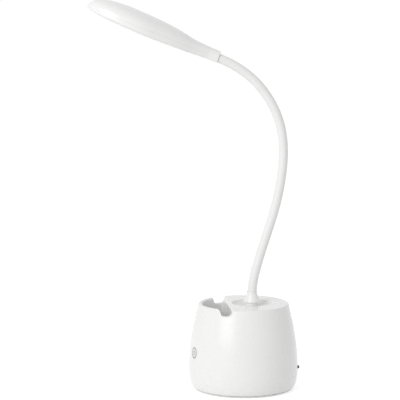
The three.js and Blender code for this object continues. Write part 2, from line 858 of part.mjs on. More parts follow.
const knobOut = Math.sqrt(sideRadius(knobHeightMiddle) ** 2 - knobX ** 2) + knobProud;
const knobFace = knobHeightMiddle + knobHeight / 2;
const knobRidges = union([-1, 0, 1].map((step) => solid(box(
  knobX + (step * knobLength) / 3 - knobRib / 2, knobX + (step * knobLength) / 3 + knobRib / 2,
  knobOut - knobRib, knobOut + knobRib,
  knobFace - knobHeight - overrun, knobFace + overrun,
))));
const knob = solid(box(
  knobX - knobLength / 2, knobX + knobLength / 2,
  switchBack + gap, knobOut, knobFace - knobHeight, knobFace,
)).add(solid(box(
  knobX - knobLength / 4, knobX + knobLength / 4,
  switchBack + gap - switchSlotDepth, switchBack + 2 * gap,
  knobHeightMiddle - knobHeight / 4, knobHeightMiddle + knobHeight / 4,
))).subtract(knobRidges);

const touchDisc = potBody.intersect(solid(touchAxis(cylinder(
  touchRadius, touchBack, touchSkin + overrun,
))));
base.add(piece('touch_button', touchDisc, greyPlastic));

const sensorReach = Math.min(
  hollowRadius(touchHeight - sensorSize / 2), hollowRadius(touchHeight + sensorSize / 2),
);
const sensorOuter = Math.sqrt(sensorReach ** 2 - (sensorSize / 2) ** 2) - gap;
const sensor = solid(touchAxis(box(
  -sensorSize / 2, sensorSize / 2, -sensorSize / 2, sensorSize / 2,
  sensorOuter - sensorThickness, sensorOuter,
)));
base.add(piece('touch_sensor', sensor, boardGreen));

// Gooseneck: places along it are lengths from where its first arc starts

const neckLength = neckBendAngles.length * neckPitch;
const neckStartHeight = wellFloor + neckStartRise;

// The middle of the neck at a length, and its heading from upright towards +Y
function neckAt(length) {
  const place = { y: wellY, z: neckStartHeight, heading: 0 };
  const advance = (run, bend) => {
    const half = bend / 2;
    const chord = half === 0 ? run : (run * Math.sin(half)) / half;
    place.y += chord * Math.sin(place.heading + half);
    place.z += chord * Math.cos(place.heading + half);
    place.heading += bend;
  };
  let left = length;
  if (left < 0) advance(left, 0);
  for (const bend of neckBendAngles) {
    if (left <= 0) break;
    const run = Math.min(left, neckPitch);
    advance(run, (bend * degrees * run) / neckPitch);
    left -= run;
  }
  if (left > 0) advance(left, 0);
  return place;
}

// Lays a straight upright form along the neck, its heights becoming lengths
function alongNeck(geometry) {
  const place = geometry.attributes.position;
  for (let i = 0; i < place.count; i += 1) {
    const at = neckAt(place.getZ(i));
    const side = place.getY(i);
    place.setY(i, at.y + side * Math.cos(at.heading));
    place.setZ(i, at.z - side * Math.sin(at.heading));
  }
  return geometry;
}

function pivotLength(number) {
  return (number - 0.5) * neckPitch;
}

// A core link from the ball about one pivot to the cup under the next
function coreProfile(from, to, lower, upper) {
  const points = [];
  points.push(...lower(from, coreBore));
  for (let i = 1; i < coreSteps; i += 1) {
    points.push(point(coreRadius, from + ((to - from) * i) / coreSteps));
  }
  points.push(...upper(to, coreBore));
  for (let i = coreSteps - 1; i > 0; i -= 1) {
    points.push(point(coreBore, from + ((to - from) * i) / coreSteps));
  }
  points.push(points[0].clone());
  return points;
}

function ballEnd(pivot, bore) {
  const from = Math.asin(bore / coreRadius) - quarter;
  return arc(0, pivot, coreRadius, from, 0, 3);
}

function cupEnd(pivot, bore) {
  const cup = coreRadius + gap;
  const rim = -Math.asin(cupDepth / cup);
  const low = Math.asin(bore / cup) - quarter;
  return [
    point(coreRadius, pivot - cupDepth - gap),
    ...arc(0, pivot, cup, rim, low, 2),
  ];
}

function flatEnd(place, bore) {
  return [point(bore, place), point(coreRadius, place)];
}

function flatTop(place, bore) {
  return [point(coreRadius, place), point(bore, place)];
}

function corePiece(name, from, to, lower, upper) {
  const form = revolve(coreProfile(from, to, lower, upper), coreSides);
  return piece(name, solid(alongNeck(form)), steel);
}

// The threaded foot under the neck's first pivot, standing in the well's floor
const footStart = wellFloor - footBelow - neckStartHeight;
const footEnd = wellFloor + footAbove - neckStartHeight;
const footCore = coreProfile(footStart, pivotLength(1), flatEnd, cupEnd);
const footThread = solid(ring(
  coreBore, footThreadRadius, neckStartHeight + footStart, neckStartHeight + footEnd, coreSides,
)).translate(0, wellY, 0);
const foot = solid(alongNeck(revolve(footCore, coreSides))).add(footThread);
base.add(piece('core_foot', foot, steel));

function sleeve(number) {
  const start = number === 1 ? gap : (number - 1) * neckPitch + gap / 2;
  const end = number === neckBendAngles.length ? neckLength - gap : number * neckPitch - gap / 2;
  const inner = sleeveRadius - sleeveWall;
  const profile = [];
  for (let i = 0; i <= sleeveSteps; i += 1) {
    profile.push(point(sleeveRadius, start + ((end - start) * i) / sleeveSteps));
  }
  for (let i = sleeveSteps; i >= 0; i -= 1) {
    profile.push(point(inner, start + ((end - start) * i) / sleeveSteps));
  }
  profile.push(profile[0].clone());
  return piece(`neck_sleeve_${number}`, solid(alongNeck(revolve(profile, neckSides))), silicone);
}

base.add(sleeve(1));

const neck = new THREE.Group();
for (let number = 1; number < neckBendAngles.length; number += 1) {
  neck.add(corePiece(
    `core_link_${number}`, pivotLength(number), pivotLength(number + 1), ballEnd, cupEnd,
  ));
  neck.add(sleeve(number + 1));
}

// Collar: a cone on a spreading skirt, with two fine steps under its mouth
const collarTop = wellFloor + gap + collarHeight;
const collarLow = wellFloor + gap;
const collarStepLow = collarTop - 2 * collarStepHeight;
const collarConeFoot = collarLow + collarConeLow;
const collarSkirtTop = collarConeRadius + collarSeam;
const collarSkirt = new THREE.QuadraticBezierCurve(
  point(collarSkirtRadius, collarLow + collarFootEdge),
  point(collarSkirtTop + collarSkirtSpread, collarLow + collarFootEdge),
  point(collarSkirtTop, collarConeFoot - collarSeam),
);
const collarCone = new THREE.QuadraticBezierCurve(
  point(collarConeRadius, collarConeFoot),
  point(
    (collarConeRadius + collarWaistRadius) / 2 - collarConeHollow,
    (collarConeFoot + collarStepLow) / 2,
  ),
  point(collarWaistRadius, collarStepLow),
);
const collar = solid(revolve([
  point(footThreadRadius + gap, collarLow),
  point(collarSkirtRadius, collarLow),
  ...collarSkirt.getPoints(arcSteps),
  ...collarCone.getPoints(arcSteps / 2),
  point(collarWaistRadius - collarStep, collarStepLow),
  point(collarTopRadius + collarStep, collarTop - collarStepHeight),
  point(collarTopRadius, collarTop - collarStepHeight),
  point(collarTopRadius, collarTop),
  point(sleeveRadius + gap, collarTop),
  point(sleeveRadius + gap, neckStartHeight - gap),
  point(footThreadRadius + gap, neckStartHeight - gap),
  point(footThreadRadius + gap, collarLow),
], collarSides)).translate(0, wellY, 0);
base.add(piece('neck_collar', collar, whitePlastic));

const nutTop = wellFloor - wellWall - gap;
const nut = solid(new THREE.CylinderGeometry(nutRadius, nutRadius, nutHeight, 6).rotateX(quarter))
  .translate(0, 0, nutTop - nutHeight / 2)
  .subtract(solid(cylinder(footThreadRadius + gap, 0, potHeight)))
  .translate(0, wellY, 0);
base.add(piece('gland_nut', nut, brass));

// Head, in the neck's end frame: X across, Y up from the neck, Z along the head

const head = new THREE.Group();
const headPlace = neckAt(neckLength);
head.position.set(0, headPlace.y, headPlace.z);
head.rotation.x = -headPlace.heading;

// The head's rise, drop and half width at a share of its length
const outlineCurves = [1, 2, 3].map((column) => new THREE.SplineCurve(
  headOutlineShares.map((row) => point(row[0], row[column])),
));

function outlineShare(column, share) {
  const curve = outlineCurves[column];
  let low = 0;
  let high = 1;
  const steps = 24;
  for (let i = 0; i < steps; i += 1) {
    const middle = (low + high) / 2;
    if (curve.getPoint(middle).x < share) low = middle;
    else high = middle;
  }
  return curve.getPoint((low + high) / 2).y;
}

function headSection(place, inset) {
  const share = Math.min(Math.max(place / headLength, 0), 1);
  const rise = headRise * outlineShare(0, share) - inset;
  const drop = headDrop * outlineShare(1, share) - inset;
  const half = headHalfWidth * outlineShare(2, share) - inset;
  const points = [];
  for (let i = 0; i < headSides; i += 1) {
    const angle = (turn * i) / headSides;
    const up = Math.sin(angle) >= 0;
    const power = 2 / (up ? headRoundPower : headFlatPower);
    const x = half * Math.sign(Math.cos(angle)) * Math.abs(Math.cos(angle)) ** power;
    const y = (up ? rise : -drop) * Math.abs(Math.sin(angle)) ** power;
    points.push(new THREE.Vector3(x, y, place));
  }
  return points;
}

function headBody(from, to, inset) {
  const rings = [];
  for (let i = 0; i <= headSections; i += 1) {
    const share = Math.sin((quarter * i) / headSections);
    rings.push(headSection(from + (to - from) * share, inset));
  }
  return solid(loft(rings));
}

const headOuter = headBody(0, headLength, 0);
const shellStart = endRingLength + gap;
const headInner = headBody(shellStart + headEndWall, headLength - 2 * headWall, headWall);
const headFar = headLength + overrun;

function headSlab(from, to) {
  return solid(box(
    -headHalfWidth, headHalfWidth, -headDrop - overrun, headRise + overrun, from, to,
  ));
}
const aboveParting = solid(box(
  -headHalfWidth, headHalfWidth, partingGap, headRise + overrun, -overrun, headFar,
));
const belowParting = solid(box(
  -headHalfWidth, headHalfWidth, -headDrop - overrun, -partingGap, -overrun, headFar,
));

// The core's end and the ferrule crimped on it, whose flange the head's end captures
const ferruleRadius = coreRadius + gap + ferruleWall;
const flangeStart = shellStart + flangeSetback;
const ferruleEnd = flangeStart + ferruleTail;
const coreEndProfile = coreProfile(
  pivotLength(neckBendAngles.length), neckLength + ferruleEnd, ballEnd, flatTop,
);
const coreEnd = solid(alongNeck(revolve(coreEndProfile, coreSides)));
const ferrule = solid(ring(coreRadius + gap, ferruleRadius, ferruleStart, ferruleEnd))
  .add(solid(ring(
    coreRadius + gap, flangeRadius, flangeStart, flangeStart + flangeThickness,
  )).subtract(solid(box(
    -flangeRadius, flangeRadius, flangeFlat, flangeRadius, 0, ferruleEnd,
  ))));
const headBore = solid(cylinder(ferruleRadius + gap, -overrun, ferruleEnd + overrun))
  .add(solid(cylinder(
    flangeRadius + gap, flangeStart - gap, flangeStart + flangeThickness + gap,
  )).subtract(solid(box(
    -headHalfWidth, headHalfWidth, flangeFlat + gap, headRise, 0, ferruleEnd,
  ))));

// Oval outline of the light unit in X and Z, drawn in by an inset
const lightLength = headLength - lightStart - lightEnd;
const lightMiddle = lightStart + lightLength / 2;

function lightOval(inset) {
  const halfLength = lightLength / 2 - inset;
  const halfWidth = lightHalfWidth - inset;
  const points = [];
  for (let i = 0; i < lightSides; i += 1) {
    const angle = (turn * i) / lightSides;
    const power = 2 / headRoundPower;
    const along = Math.sign(Math.cos(angle)) * Math.abs(Math.cos(angle)) ** power;
    const across = Math.sign(Math.sin(angle)) * Math.abs(Math.sin(angle)) ** power;
    points.push(point(halfWidth * across, lightMiddle + halfLength * along));
  }
  return points;
}

// A plate with that outline, from one Y to another
function lightPlate(inset, low, high) {
  const outline = lightOval(inset);
  const level = (y) => outline.map((p) => new THREE.Vector3(p.x, y, p.y));
  return solid(loft([level(low), level(high)]));
}

function lightRing(outerInset, innerInset, low, high) {
  return lightPlate(outerInset, low, high)
    .subtract(lightPlate(innerInset, low - overrun, high + overrun));
}

// Turns an upright body so that it rises along the head's Y, at a place in X and Z
function raised(body, x, z) {
  return body.rotate(-90, 0, 0).translate(x, 0, z);
}

// Two screws run up through posts in the frame into posts in the upper shell
const headScrewSeat = headWall + headScrewHeadHeight - headDrop;
const headScrewTip = headScrewSeat + headScrewLength;
const headPosts = union([-1, 1].map((side) => raised(
  solid(cylinder(headBossRadius, -headDrop, headBossHeight)), side * headScrewX, headScrewZ,
)));
const headScrewBores = union([-1, 1].map((side) => raised(
  solid(cylinder(headScrewRadius + gap, -headDrop - overrun, headScrewTip + gap))
    .add(solid(cylinder(headScrewHeadRadius + gap, -headDrop - overrun, headScrewSeat))),
  side * headScrewX, headScrewZ,
)));
const endRing = headOuter.intersect(headSlab(-overrun, endRingLength)).subtract(headBore);
head.add(piece('head_end_ring', endRing, whitePlastic));
const headSkin = headOuter
  .subtract(headSlab(-overrun, shellStart))
  .subtract(headInner.subtract(headPosts))
  .subtract(headBore)
  .subtract(headScrewBores);

// Frame: the lower skin, with a seat for the diffuser round its window
const seatY = -seatDepth;
const seatRim = lightPlate(-gap - seatWall, -headDrop, -partingGap).intersect(headOuter);
const lowerFrame = headSkin
  .intersect(belowParting)
  .add(seatRim)
  .subtract(lightPlate(-gap, seatY, overrun))
  .subtract(lightPlate(diffuserFlange, -headDrop - overrun, overrun));
head.add(piece('head_lower_frame', lowerFrame, whitePlastic));

const flangeLow = seatY + gap;
const flangeTop = flangeLow + diffuserFlangeThickness;
const diffuser = lightPlate(diffuserFlange + gap, -headDrop, flangeTop)
  .intersect(headBody(0, headLength, diffuserSink))
  .add(lightPlate(0, flangeLow, flangeTop));
head.add(piece('diffuser', diffuser, frosted));

const reflectorLow = flangeTop + gap;
const reflectorTop = reflectorLow + reflectorHeight;
const reflector = lightRing(
  reflectorInset, reflectorInset + reflectorWall, reflectorLow, reflectorTop,
);
head.add(piece('reflector_ring', reflector, frosted));

const ledBoardLow = reflectorTop + gap;
const ledBoardTop = ledBoardLow + ledBoardThickness;
const ledColumns = Math.floor((lightLength - 2 * ledMargin) / ledPitchAlong) + 1;
const leds = [];
for (let row = 0; row < ledRows; row += 1) {
  for (let column = 0; column < ledColumns; column += 1) {
    const x = (row - (ledRows - 1) / 2) * ledPitchAcross;
    const z = lightMiddle + (column - (ledColumns - 1) / 2) * ledPitchAlong;
    leds.push(solid(box(
      x - ledSize / 2, x + ledSize / 2, ledBoardLow - ledHeight, ledBoardLow + ledHeight,
      z - ledSize / 2, z + ledSize / 2,
    )));
  }
}
const ledBoard = lightPlate(reflectorInset, ledBoardLow, ledBoardTop).add(union(leds));
head.add(piece('led_board', ledBoard, boardWhite));

// Upper shell: its two press posts hold the light unit down
const pressPosts = union([-1, 1].map((side) => raised(
  solid(cylinder(pressPostRadius, ledBoardTop + gap, headRise)),
  0, lightMiddle + side * (lightLength / 2 - pressPostInset),
)));
const upperShell = headSkin
  .intersect(aboveParting)
  .add(pressPosts.intersect(headOuter));
head.add(piece('head_upper_shell', upperShell, whitePlastic));

head.add(piece('head_ferrule', ferrule, brass));
[-1, 1].forEach((side, i) => {
  const headScrew = piece(`head_screw_${i + 1}`, screw(
    headScrewRadius, headScrewHeadRadius, headScrewHeadHeight, headScrewLength,
  ), steel);
  headScrew.rotation.x = -quarter;
  headScrew.position.set(side * headScrewX, headScrewSeat, headScrewZ);
  head.add(headScrew);
});

// Lead: one run from the main board through the neck's bore to the light board

function leadPoints() {
  const points = [new THREE.Vector3(0, leadInPot[0][0], boardTop + gap)];
  for (const [y, z] of leadInPot) {
    points.push(new THREE.Vector3(0, y, z));
  }
  const runs = Math.round((neckLength + ferruleEnd - footStart) / leadPointPitch);
  for (let i = 0; i <= runs; i += 1) {
    const at = neckAt(footStart + ((neckLength + ferruleEnd - footStart) * i) / runs);
    points.push(new THREE.Vector3(0, at.y, at.z));
  }
  const landing = leadInHead[leadInHead.length - 1][1];
  for (const [y, z] of [...leadInHead, [ledBoardTop + gap, landing]]) {
    const at = neckAt(neckLength + z);
    const heading = at.heading;
    points.push(new THREE.Vector3(
      0, at.y + y * Math.cos(heading), at.z - y * Math.sin(heading),
    ));
  }
  return points;
}

const leadSection = new THREE.Shape();
leadSection.absarc(0, 0, leadRadius, 0, turn);
const leadBody = solid(new THREE.ExtrudeGeometry(leadSection, {
  steps: leadSteps,
  curveSegments: leadSides / 2,
  bevelEnabled: false,
  extrudePath: new THREE.CatmullRomCurve3(leadPoints()),
}));
base.add(piece('lamp_lead', leadBody, leadWhite));

const slide = new THREE.Group();
slide.add(piece('switch_knob', knob, blackPlastic));

const headEnd = new THREE.Group();
headEnd.add(piece('core_end', coreEnd, steel));

const group = new THREE.Group();
group.add(base, slide, neck, headEnd, head);

export default group;
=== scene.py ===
# A rechargeable desk lamp. Its round white pot holds pens in a pocket and a phone in
# two notches, and carries a bendable neck with a leaf-shaped light head. Metres, in
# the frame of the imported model: Z up, the front towards -Y, the desk at height 0.
import math

import bpy
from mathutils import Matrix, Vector


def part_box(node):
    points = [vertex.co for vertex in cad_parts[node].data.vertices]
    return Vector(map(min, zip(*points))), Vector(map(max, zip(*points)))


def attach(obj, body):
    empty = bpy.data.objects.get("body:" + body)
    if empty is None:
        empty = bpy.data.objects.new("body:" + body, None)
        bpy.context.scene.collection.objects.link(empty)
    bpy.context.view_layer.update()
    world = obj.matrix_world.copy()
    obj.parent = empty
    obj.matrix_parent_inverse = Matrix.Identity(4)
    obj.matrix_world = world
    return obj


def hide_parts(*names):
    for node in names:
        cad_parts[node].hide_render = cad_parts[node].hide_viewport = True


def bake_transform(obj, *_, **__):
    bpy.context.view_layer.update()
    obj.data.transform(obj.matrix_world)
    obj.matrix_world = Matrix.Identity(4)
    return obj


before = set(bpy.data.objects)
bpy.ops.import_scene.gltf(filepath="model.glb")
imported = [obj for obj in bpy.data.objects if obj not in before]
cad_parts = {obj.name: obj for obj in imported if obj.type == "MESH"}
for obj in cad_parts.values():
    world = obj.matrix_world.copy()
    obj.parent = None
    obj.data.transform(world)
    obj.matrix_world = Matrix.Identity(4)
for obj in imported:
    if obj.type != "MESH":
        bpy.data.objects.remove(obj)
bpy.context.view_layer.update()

# The pot. One deep white moulding that is the lamp's foot, pen holder and phone rest.
# It is injection moulded in glossy ABS, so its walls lean a little, its rims are softly
# rounded, and the deck dips in a dish round the neck.
pot_height = 0.095
pot_sides = 192
belly_radius = 0.060
belly_height = 0.022
foot_radius = 0.0525
foot_height = 0.0008
rim_radius = 0.050
rim_round = 0.0018
# The side's curve leaves its foot, belly and rim towards these handles
foot_handle = 0.0045
belly_handles = (0.011, 0.048)
rim_handle = (0.006, 0.0692)
pot_wall = 0.0024
deck_thickness = 0.0026
parting_height = 0.0022
parting_edge = (0.0003, 0.0002)
# A seam is the gap between fitted parts, and a cutter reaches past what it cuts
seam = 0.0003
past = 0.003

well_y = 0.0094
well_radius = 0.0228
well_lip = 0.0008
well_floor_radius = 0.0185
well_floor = 0.092
well_sweep = (0.0008, 0.0006)
well_wall = 0.0024

pocket_face = -0.0175
pocket_radius = 0.0453
pocket_floor = 0.020
pocket_draft = 0.0008
pocket_corner = 0.0035
pocket_wall = 0.0018
pocket_edge = 0.002
pocket_foot = 0.0015

notch_low = 0.0875
notch_width = 0.0107
notch_mouth = 0.013
notch_round = 0.0032
notch_face_round = 0.005
notch_face_steps = 18
notch_edge = 0.0028
# The notch's back is set just off the pocket's, so that no two cuts share a plane
notch_offset = 0.00003
block_round = 0.0052
block_round_least = 0.00002
# Levels under the pot's top at which the rounded block is drawn
block_levels = (0.0025, rim_round, 0.0014, 0.001, 0.0006, 0.0003, 0)


def select_only(piece):
    """Leaves one piece selected and active."""
    bpy.ops.object.select_all(action="DESELECT")
    piece.select_set(True)
    bpy.context.view_layer.objects.active = piece


def tidy_mesh(piece):
    """Merges what lies on one point and turns the faces outwards."""
    select_only(piece)
    bpy.ops.object.mode_set(mode="EDIT")
    bpy.ops.mesh.select_all(action="SELECT")
    bpy.ops.mesh.remove_doubles(threshold=0.000004)
    bpy.ops.mesh.normals_make_consistent(inside=False)
    bpy.ops.object.mode_set(mode="OBJECT")


def turned(name, profile, sides, centre_y=0.0):
    """A profile of (radius, height) points spun about an upright axis."""
    bpy.ops.object.select_all(action="DESELECT")
    bpy.ops.mesh.primitive_plane_add(size=0.001)
    piece = bpy.context.object
    piece.name = name
    bpy.ops.object.mode_set(mode="EDIT")
    bpy.ops.mesh.merge(type="CENTER")
    at = (profile[0][0], profile[0][1])
    bpy.ops.transform.translate(value=(at[0], centre_y, at[1]))
    for radius, height in profile[1:]:
        step = (radius - at[0], 0, height - at[1])
        bpy.ops.mesh.extrude_vertices_move(TRANSFORM_OT_translate={"value": step})
        at = (radius, height)
    bpy.ops.mesh.select_all(action="SELECT")
    bpy.ops.mesh.spin(
        steps=sides, angle=math.tau, center=(0, centre_y, 0), axis=(0, 0, 1)
    )
    bpy.ops.object.mode_set(mode="OBJECT")
    tidy_mesh(piece)
    return piece


def lofted(name, rings, joined=False):
    """A skin through rings: a circle is extruded ring by ring and laid on them."""
    sides = len(rings[0])
    bpy.ops.object.select_all(action="DESELECT")
    bpy.ops.mesh.primitive_circle_add(vertices=sides, radius=1, fill_type="NOTHING")
    piece = bpy.context.object
    piece.name = name
    bpy.ops.object.mode_set(mode="EDIT")
    for _ in rings[1:]:
        bpy.ops.mesh.extrude_edges_move(TRANSFORM_OT_translate={"value": (0, 0, 1)})
    bpy.ops.mesh.select_all(action="DESELECT")
    bpy.ops.mesh.select_non_manifold()
    if joined:
        bpy.ops.mesh.bridge_edge_loops()
    else:
        bpy.ops.mesh.fill_holes(sides=0)
    bpy.ops.object.mode_set(mode="OBJECT")
    for vertex in piece.data.vertices:
        angle = math.atan2(vertex.co.y, vertex.co.x)
        number = round(angle / math.tau * sides) % sides
        vertex.co = rings[round(vertex.co.z)][number]
    tidy_mesh(piece)
    return piece


def prism(name, outline, low, high):
    """A flat outline of (x, y) points raised from one height to another."""
    return lofted(name, [[(x, y, z) for x, y in outline] for z in (low, high)])


def shaped(piece, operation, tools):
    """The piece cut by, joined with or kept inside other bodies, which are used up."""
    for tool in tools:
        select_only(piece)
        change = piece.modifiers.new(operation, "BOOLEAN")
        change.operation = operation
        change.solver = "EXACT"
        change.object = tool
        bpy.ops.object.modifier_apply(modifier=change.name)
        bpy.data.objects.remove(tool)
    return piece


def arc(centre, radius, start, end, steps):
    """Points of a round corner about a centre, between two angles in degrees."""
    points = []
    for i in range(steps + 1):
        angle = math.radians(start + (end - start) * i / steps)
        points.append(
            (
                centre[0] + radius * math.cos(angle),
                centre[1] + radius * math.sin(angle),
            )
        )
    return points


def circle(centre, radius, sides=36):
    """Points evenly round a centre."""
    return arc(centre, radius, 0, 360 - 360 / sides, sides - 1)


def bezier(a, b, c, d, steps):
    """Points along a cubic curve with two handles."""
    points = []
    for i in range(steps + 1):
        t = i / steps
        shares = ((1 - t) ** 3, 3 * t * (1 - t) ** 2, 3 * t * t * (1 - t), t**3)
        points.append(
            tuple(sum(s * p[k] for s, p in zip(shares, (a, b, c, d))) for k in (0, 1))
        )
    return points


side = (
    bezier(
        (foot_radius, foot_height),
        (foot_radius + foot_handle, foot_height),
        (belly_radius, belly_handles[0]),
        (belly_radius, belly_height),
        24,
    )
    + bezier(
        (belly_radius, belly_height),
        (belly_radius, belly_handles[1]),
        (rim_radius + rim_handle[0], rim_handle[1]),
        (rim_radius, pot_height - rim_round),
        48,
    )[1:]
    + arc((rim_radius - rim_round, pot_height - rim_round), rim_round, 0, 90, 8)[1:]
)


def side_radius(height):
    """The pot's radius at a height."""
    for low, high in zip(side, side[1:]):
        if height <= high[1]:
            share = (height - low[1]) / (high[1] - low[1])
            return low[0] + (high[0] - low[0]) * share
    return rim_radius - rim_round


shell_low = parting_height + seam / 2
pot = turned(
    "pot",
    [(0, shell_low), (side_radius(shell_low) - parting_edge[0], shell_low)]
    + [p for p in side if p[1] > shell_low + parting_edge[1]]
    + [(0, pot_height)],
    pot_sides,
)

# The dish: a flat floor that sweeps up into a steep side with a small rounded lip
dish_side = well_radius - well_lip
dish = turned(
    "dish",
    [(0, well_floor)]
    + bezier(
        (well_floor_radius, well_floor),
        (dish_side - well_sweep[0], well_floor),
        (dish_side, well_floor + well_sweep[1]),
        (dish_side, pot_height - well_lip),
        14,
    )
    + arc((well_radius, pot_height - well_lip), well_lip, 180, 90, 6)[1:]
    + [(well_radius, pot_height + past), (0, pot_height + past)],
    128,
    well_y,
)


def pocket_level(height, out):
    """The pocket's D at a height, drawn out by a margin. Its back is straight."""
    narrowing = pocket_draft * (pot_height - height) / (pot_height - pocket_floor)
    radius = pocket_radius - min(narrowing, pocket_draft) + out
    face = pocket_face + out
    corner = pocket_corner + out
    centre_y = face - corner
    centre_x = math.sqrt((radius - corner) ** 2 - centre_y**2)
    reach = math.degrees(math.atan2(centre_y, centre_x))
    outline = (
        arc((centre_x, centre_y), corner, 90, reach, 10)
        + arc((0, 0), radius, reach, -180 - reach, 90)[1:-1]
        + arc((-centre_x, centre_y), corner, -180 - reach, -270, 10)
    )
    return [(x, y, height) for x, y in outline]


pocket = lofted(
    "pocket",
    [
        pocket_level(pocket_floor + pocket_foot + z, out)
        for out, z in arc((-pocket_foot, 0), pocket_foot, -90, 0, 5)
    ]
    + [
        pocket_level(pot_height - pocket_edge + z, pocket_edge + out)
        for out, z in arc((0, 0), pocket_edge, 180, 90, 6)
    ]
    + [pocket_level(pot_height + past, pocket_edge)],
)

# The notches: one groove through both sides of the rim, upright behind and sloped in
# front
lean = math.degrees(math.atan2(notch_mouth - notch_width, pot_height - notch_low))
notch_front = pocket_face - notch_width
notch_face = pocket_face + notch_offset
notch_run = notch_round * math.tan(math.radians((90 - lean) / 2))
slope_top = notch_front - (pot_height - notch_low) * math.tan(math.radians(lean))
edge_run = notch_edge * math.tan(math.radians((90 - lean) / 2))
notch_outline = (
    [(notch_face + pocket_edge, pot_height + past)]
    + arc(
        (notch_face + pocket_edge, pot_height - pocket_edge), pocket_edge, 90, 180, 5
    )
    + arc(
        (notch_face - notch_face_round, notch_low + notch_face_round),
        notch_face_round,
        0,
        -90,
        notch_face_steps,
    )
    + arc(
        (notch_front + notch_run, notch_low + notch_round),
        notch_round,
        -90,
        -180 + lean,
        6,
    )
    + arc((slope_top - edge_run, pot_height - notch_edge), notch_edge, lean, 90, 6)
    + [(slope_top - edge_run, pot_height + past)]
)
notch = lofted(
    "notch",
    [
        [(x, y, z) for y, z in notch_outline]
        for x in (-belly_radius - past, belly_radius + past)
    ],
)


def block_face(height):
    """Where the notch's back lies at a height: it curves at its foot and its edge."""
    low = min(max(notch_low + notch_face_round - height, 0), notch_face_round)
    high = min(max(height - (pot_height - pocket_edge), 0), pocket_edge)
    foot = notch_face_round - math.sqrt(notch_face_round**2 - low**2)
    edge = pocket_edge - math.sqrt(pocket_edge**2 - high**2)
    return notch_face - foot + edge


def block_corner(hand):
    """What rounds the upright edge between the notch's back and the pot's side, on one
    hand. The round dies away down the curve of the notch's back."""
    turns = [math.pi / 2 * i / notch_face_steps for i in range(notch_face_steps + 1)]
    heights = [notch_low + notch_face_round * (1 - math.cos(turn)) for turn in turns]
    heights += [pot_height - below for below in block_levels]
    rings = []
    for height in heights:
        climb = min((height - notch_low) / notch_face_round, 1)
        rounding = max(block_round * math.sin(math.pi / 2 * climb), block_round_least)
        face = block_face(height)
        radius = side_radius(height)
        centre_y = face + rounding
        centre_x = math.sqrt((radius - rounding) ** 2 - centre_y**2)
        reach = math.degrees(math.atan2(centre_y, centre_x))
        outline = arc((centre_x, centre_y), rounding, -90, reach, 14) + [
            (radius + past, centre_y),
            (radius + past, face - past),
            (centre_x, face - past),
        ]
        rings.append([(hand * x, y, height) for x, y in outline])
    rings.append([(x, y, pot_height + past) for x, y, _ in rings[-1]])
    return lofted("block_corner", rings)


def rounded_outline(middle, half, corner):
    """A rounded oblong in X and Z, from its middle, half size and corner radius."""
    outline = []
    for sx, sz, start in ((1, 1, 90), (1, -1, 0), (-1, -1, -90), (-1, 1, -180)):
        centre = (
            middle[0] + sx * (half[0] - corner),
            middle[1] + sz * (half[1] - corner),
        )
        outline += arc(centre, corner, start, start - 90, 5)
    return outline


def rounded_box(name, middle, half, corner, front, back):
    """A rounded oblong drawn out along Y."""
    outline = rounded_outline(middle, half, corner)
    return lofted(name, [[(x, y, z) for x, z in outline] for y in (front, back)])


switch_place = (0.008, 0.0236)
socket_place = (-0.009, 0.02275)
slot_end = belly_radius + past
# Half size, corner radius and inner end of each slot in the pot's back
switch_slot = ((0.00365, 0.0019), 0.0009, 0.0545)
socket_slot = ((0.0048, 0.00195), 0.0018, 0.050)
switch_window = rounded_box("window", switch_place, *switch_slot, slot_end)
socket_window = rounded_box("window", socket_place, *socket_slot, slot_end)

touch_angle = math.radians(18.5)
touch_height = 0.0437
touch_radius = 0.006
touch_depth = 0.0013
touch_skin = side_radius(touch_height)
touch_back = touch_skin - touch_depth


def touch_rod(radius, back, front):
    """A rod that points out of the pot at the touch button."""
    rings = []
    for reach in (back, front):
        ring = []
        for x, z in circle((0, touch_height), radius, 96):
            ring.append(
                (
                    x * math.cos(touch_angle) + reach * math.sin(touch_angle),
                    x * math.sin(touch_angle) - reach * math.cos(touch_angle),
                    z,
                )
            )
        rings.append(ring)
    return lofted("rod", rings)


shaped(
    pot,
    "DIFFERENCE",
    [
        dish,
        pocket,
        notch,
        block_corner(1),
        block_corner(-1),
        switch_window,
        socket_window,
        touch_rod(touch_radius + seam, touch_back - seam, touch_skin + past),
    ],
)

# The hollow inside, round the dish, the pocket, the solid rim and the four screw posts
lip_wall = 0.0022
lip_top = parting_height + 0.0053
lip_radius = side_radius(parting_height) - lip_wall
hollow_top = pot_height - deck_thickness
hollow_margin = 0.001
rim_depth = 0.012
hollow = turned(
    "hollow",
    [
        (0, -past),
        (lip_radius, -past),
        (lip_radius, lip_top),
        (belly_radius - pot_wall, belly_height),
    ]
    + [
        (r - pot_wall, z)
        for r, z in side[::4]
        if belly_height + hollow_margin < z < hollow_top - hollow_margin
    ]
    + [(side_radius(hollow_top) - pot_wall, hollow_top), (0, hollow_top)],
    96,
)
dish_cup = turned(
    "dish_cup",
    [
        (0, well_floor - well_wall),
        (well_floor_radius + well_wall, well_floor - well_wall),
        (well_radius, hollow_top + seam),
        (0, hollow_top + seam),
    ],
    96,
    well_y,
)
pocket_cup = lofted(
    "pocket_cup",
    [
        pocket_level(pocket_floor - pocket_wall, pocket_wall),
        pocket_level(pot_height, pocket_wall),
    ],
)
rim_block = prism(
    "rim_block",
    [
        (-belly_radius, -belly_radius),
        (belly_radius, -belly_radius),
        (belly_radius, pocket_face + pocket_wall),
        (-belly_radius, pocket_face + pocket_wall),
    ],
    pot_height - rim_depth,
    pot_height,
)
post_inset = 0.0035
post_circle = foot_radius - post_inset
post_angles = [45, 135, 225, 315]
post_low = 0.0048
post_top = 0.0228
post_radius = 0.0036
post_bore = 0.0017
post_bore_top = 0.0168
rib_half = 0.001
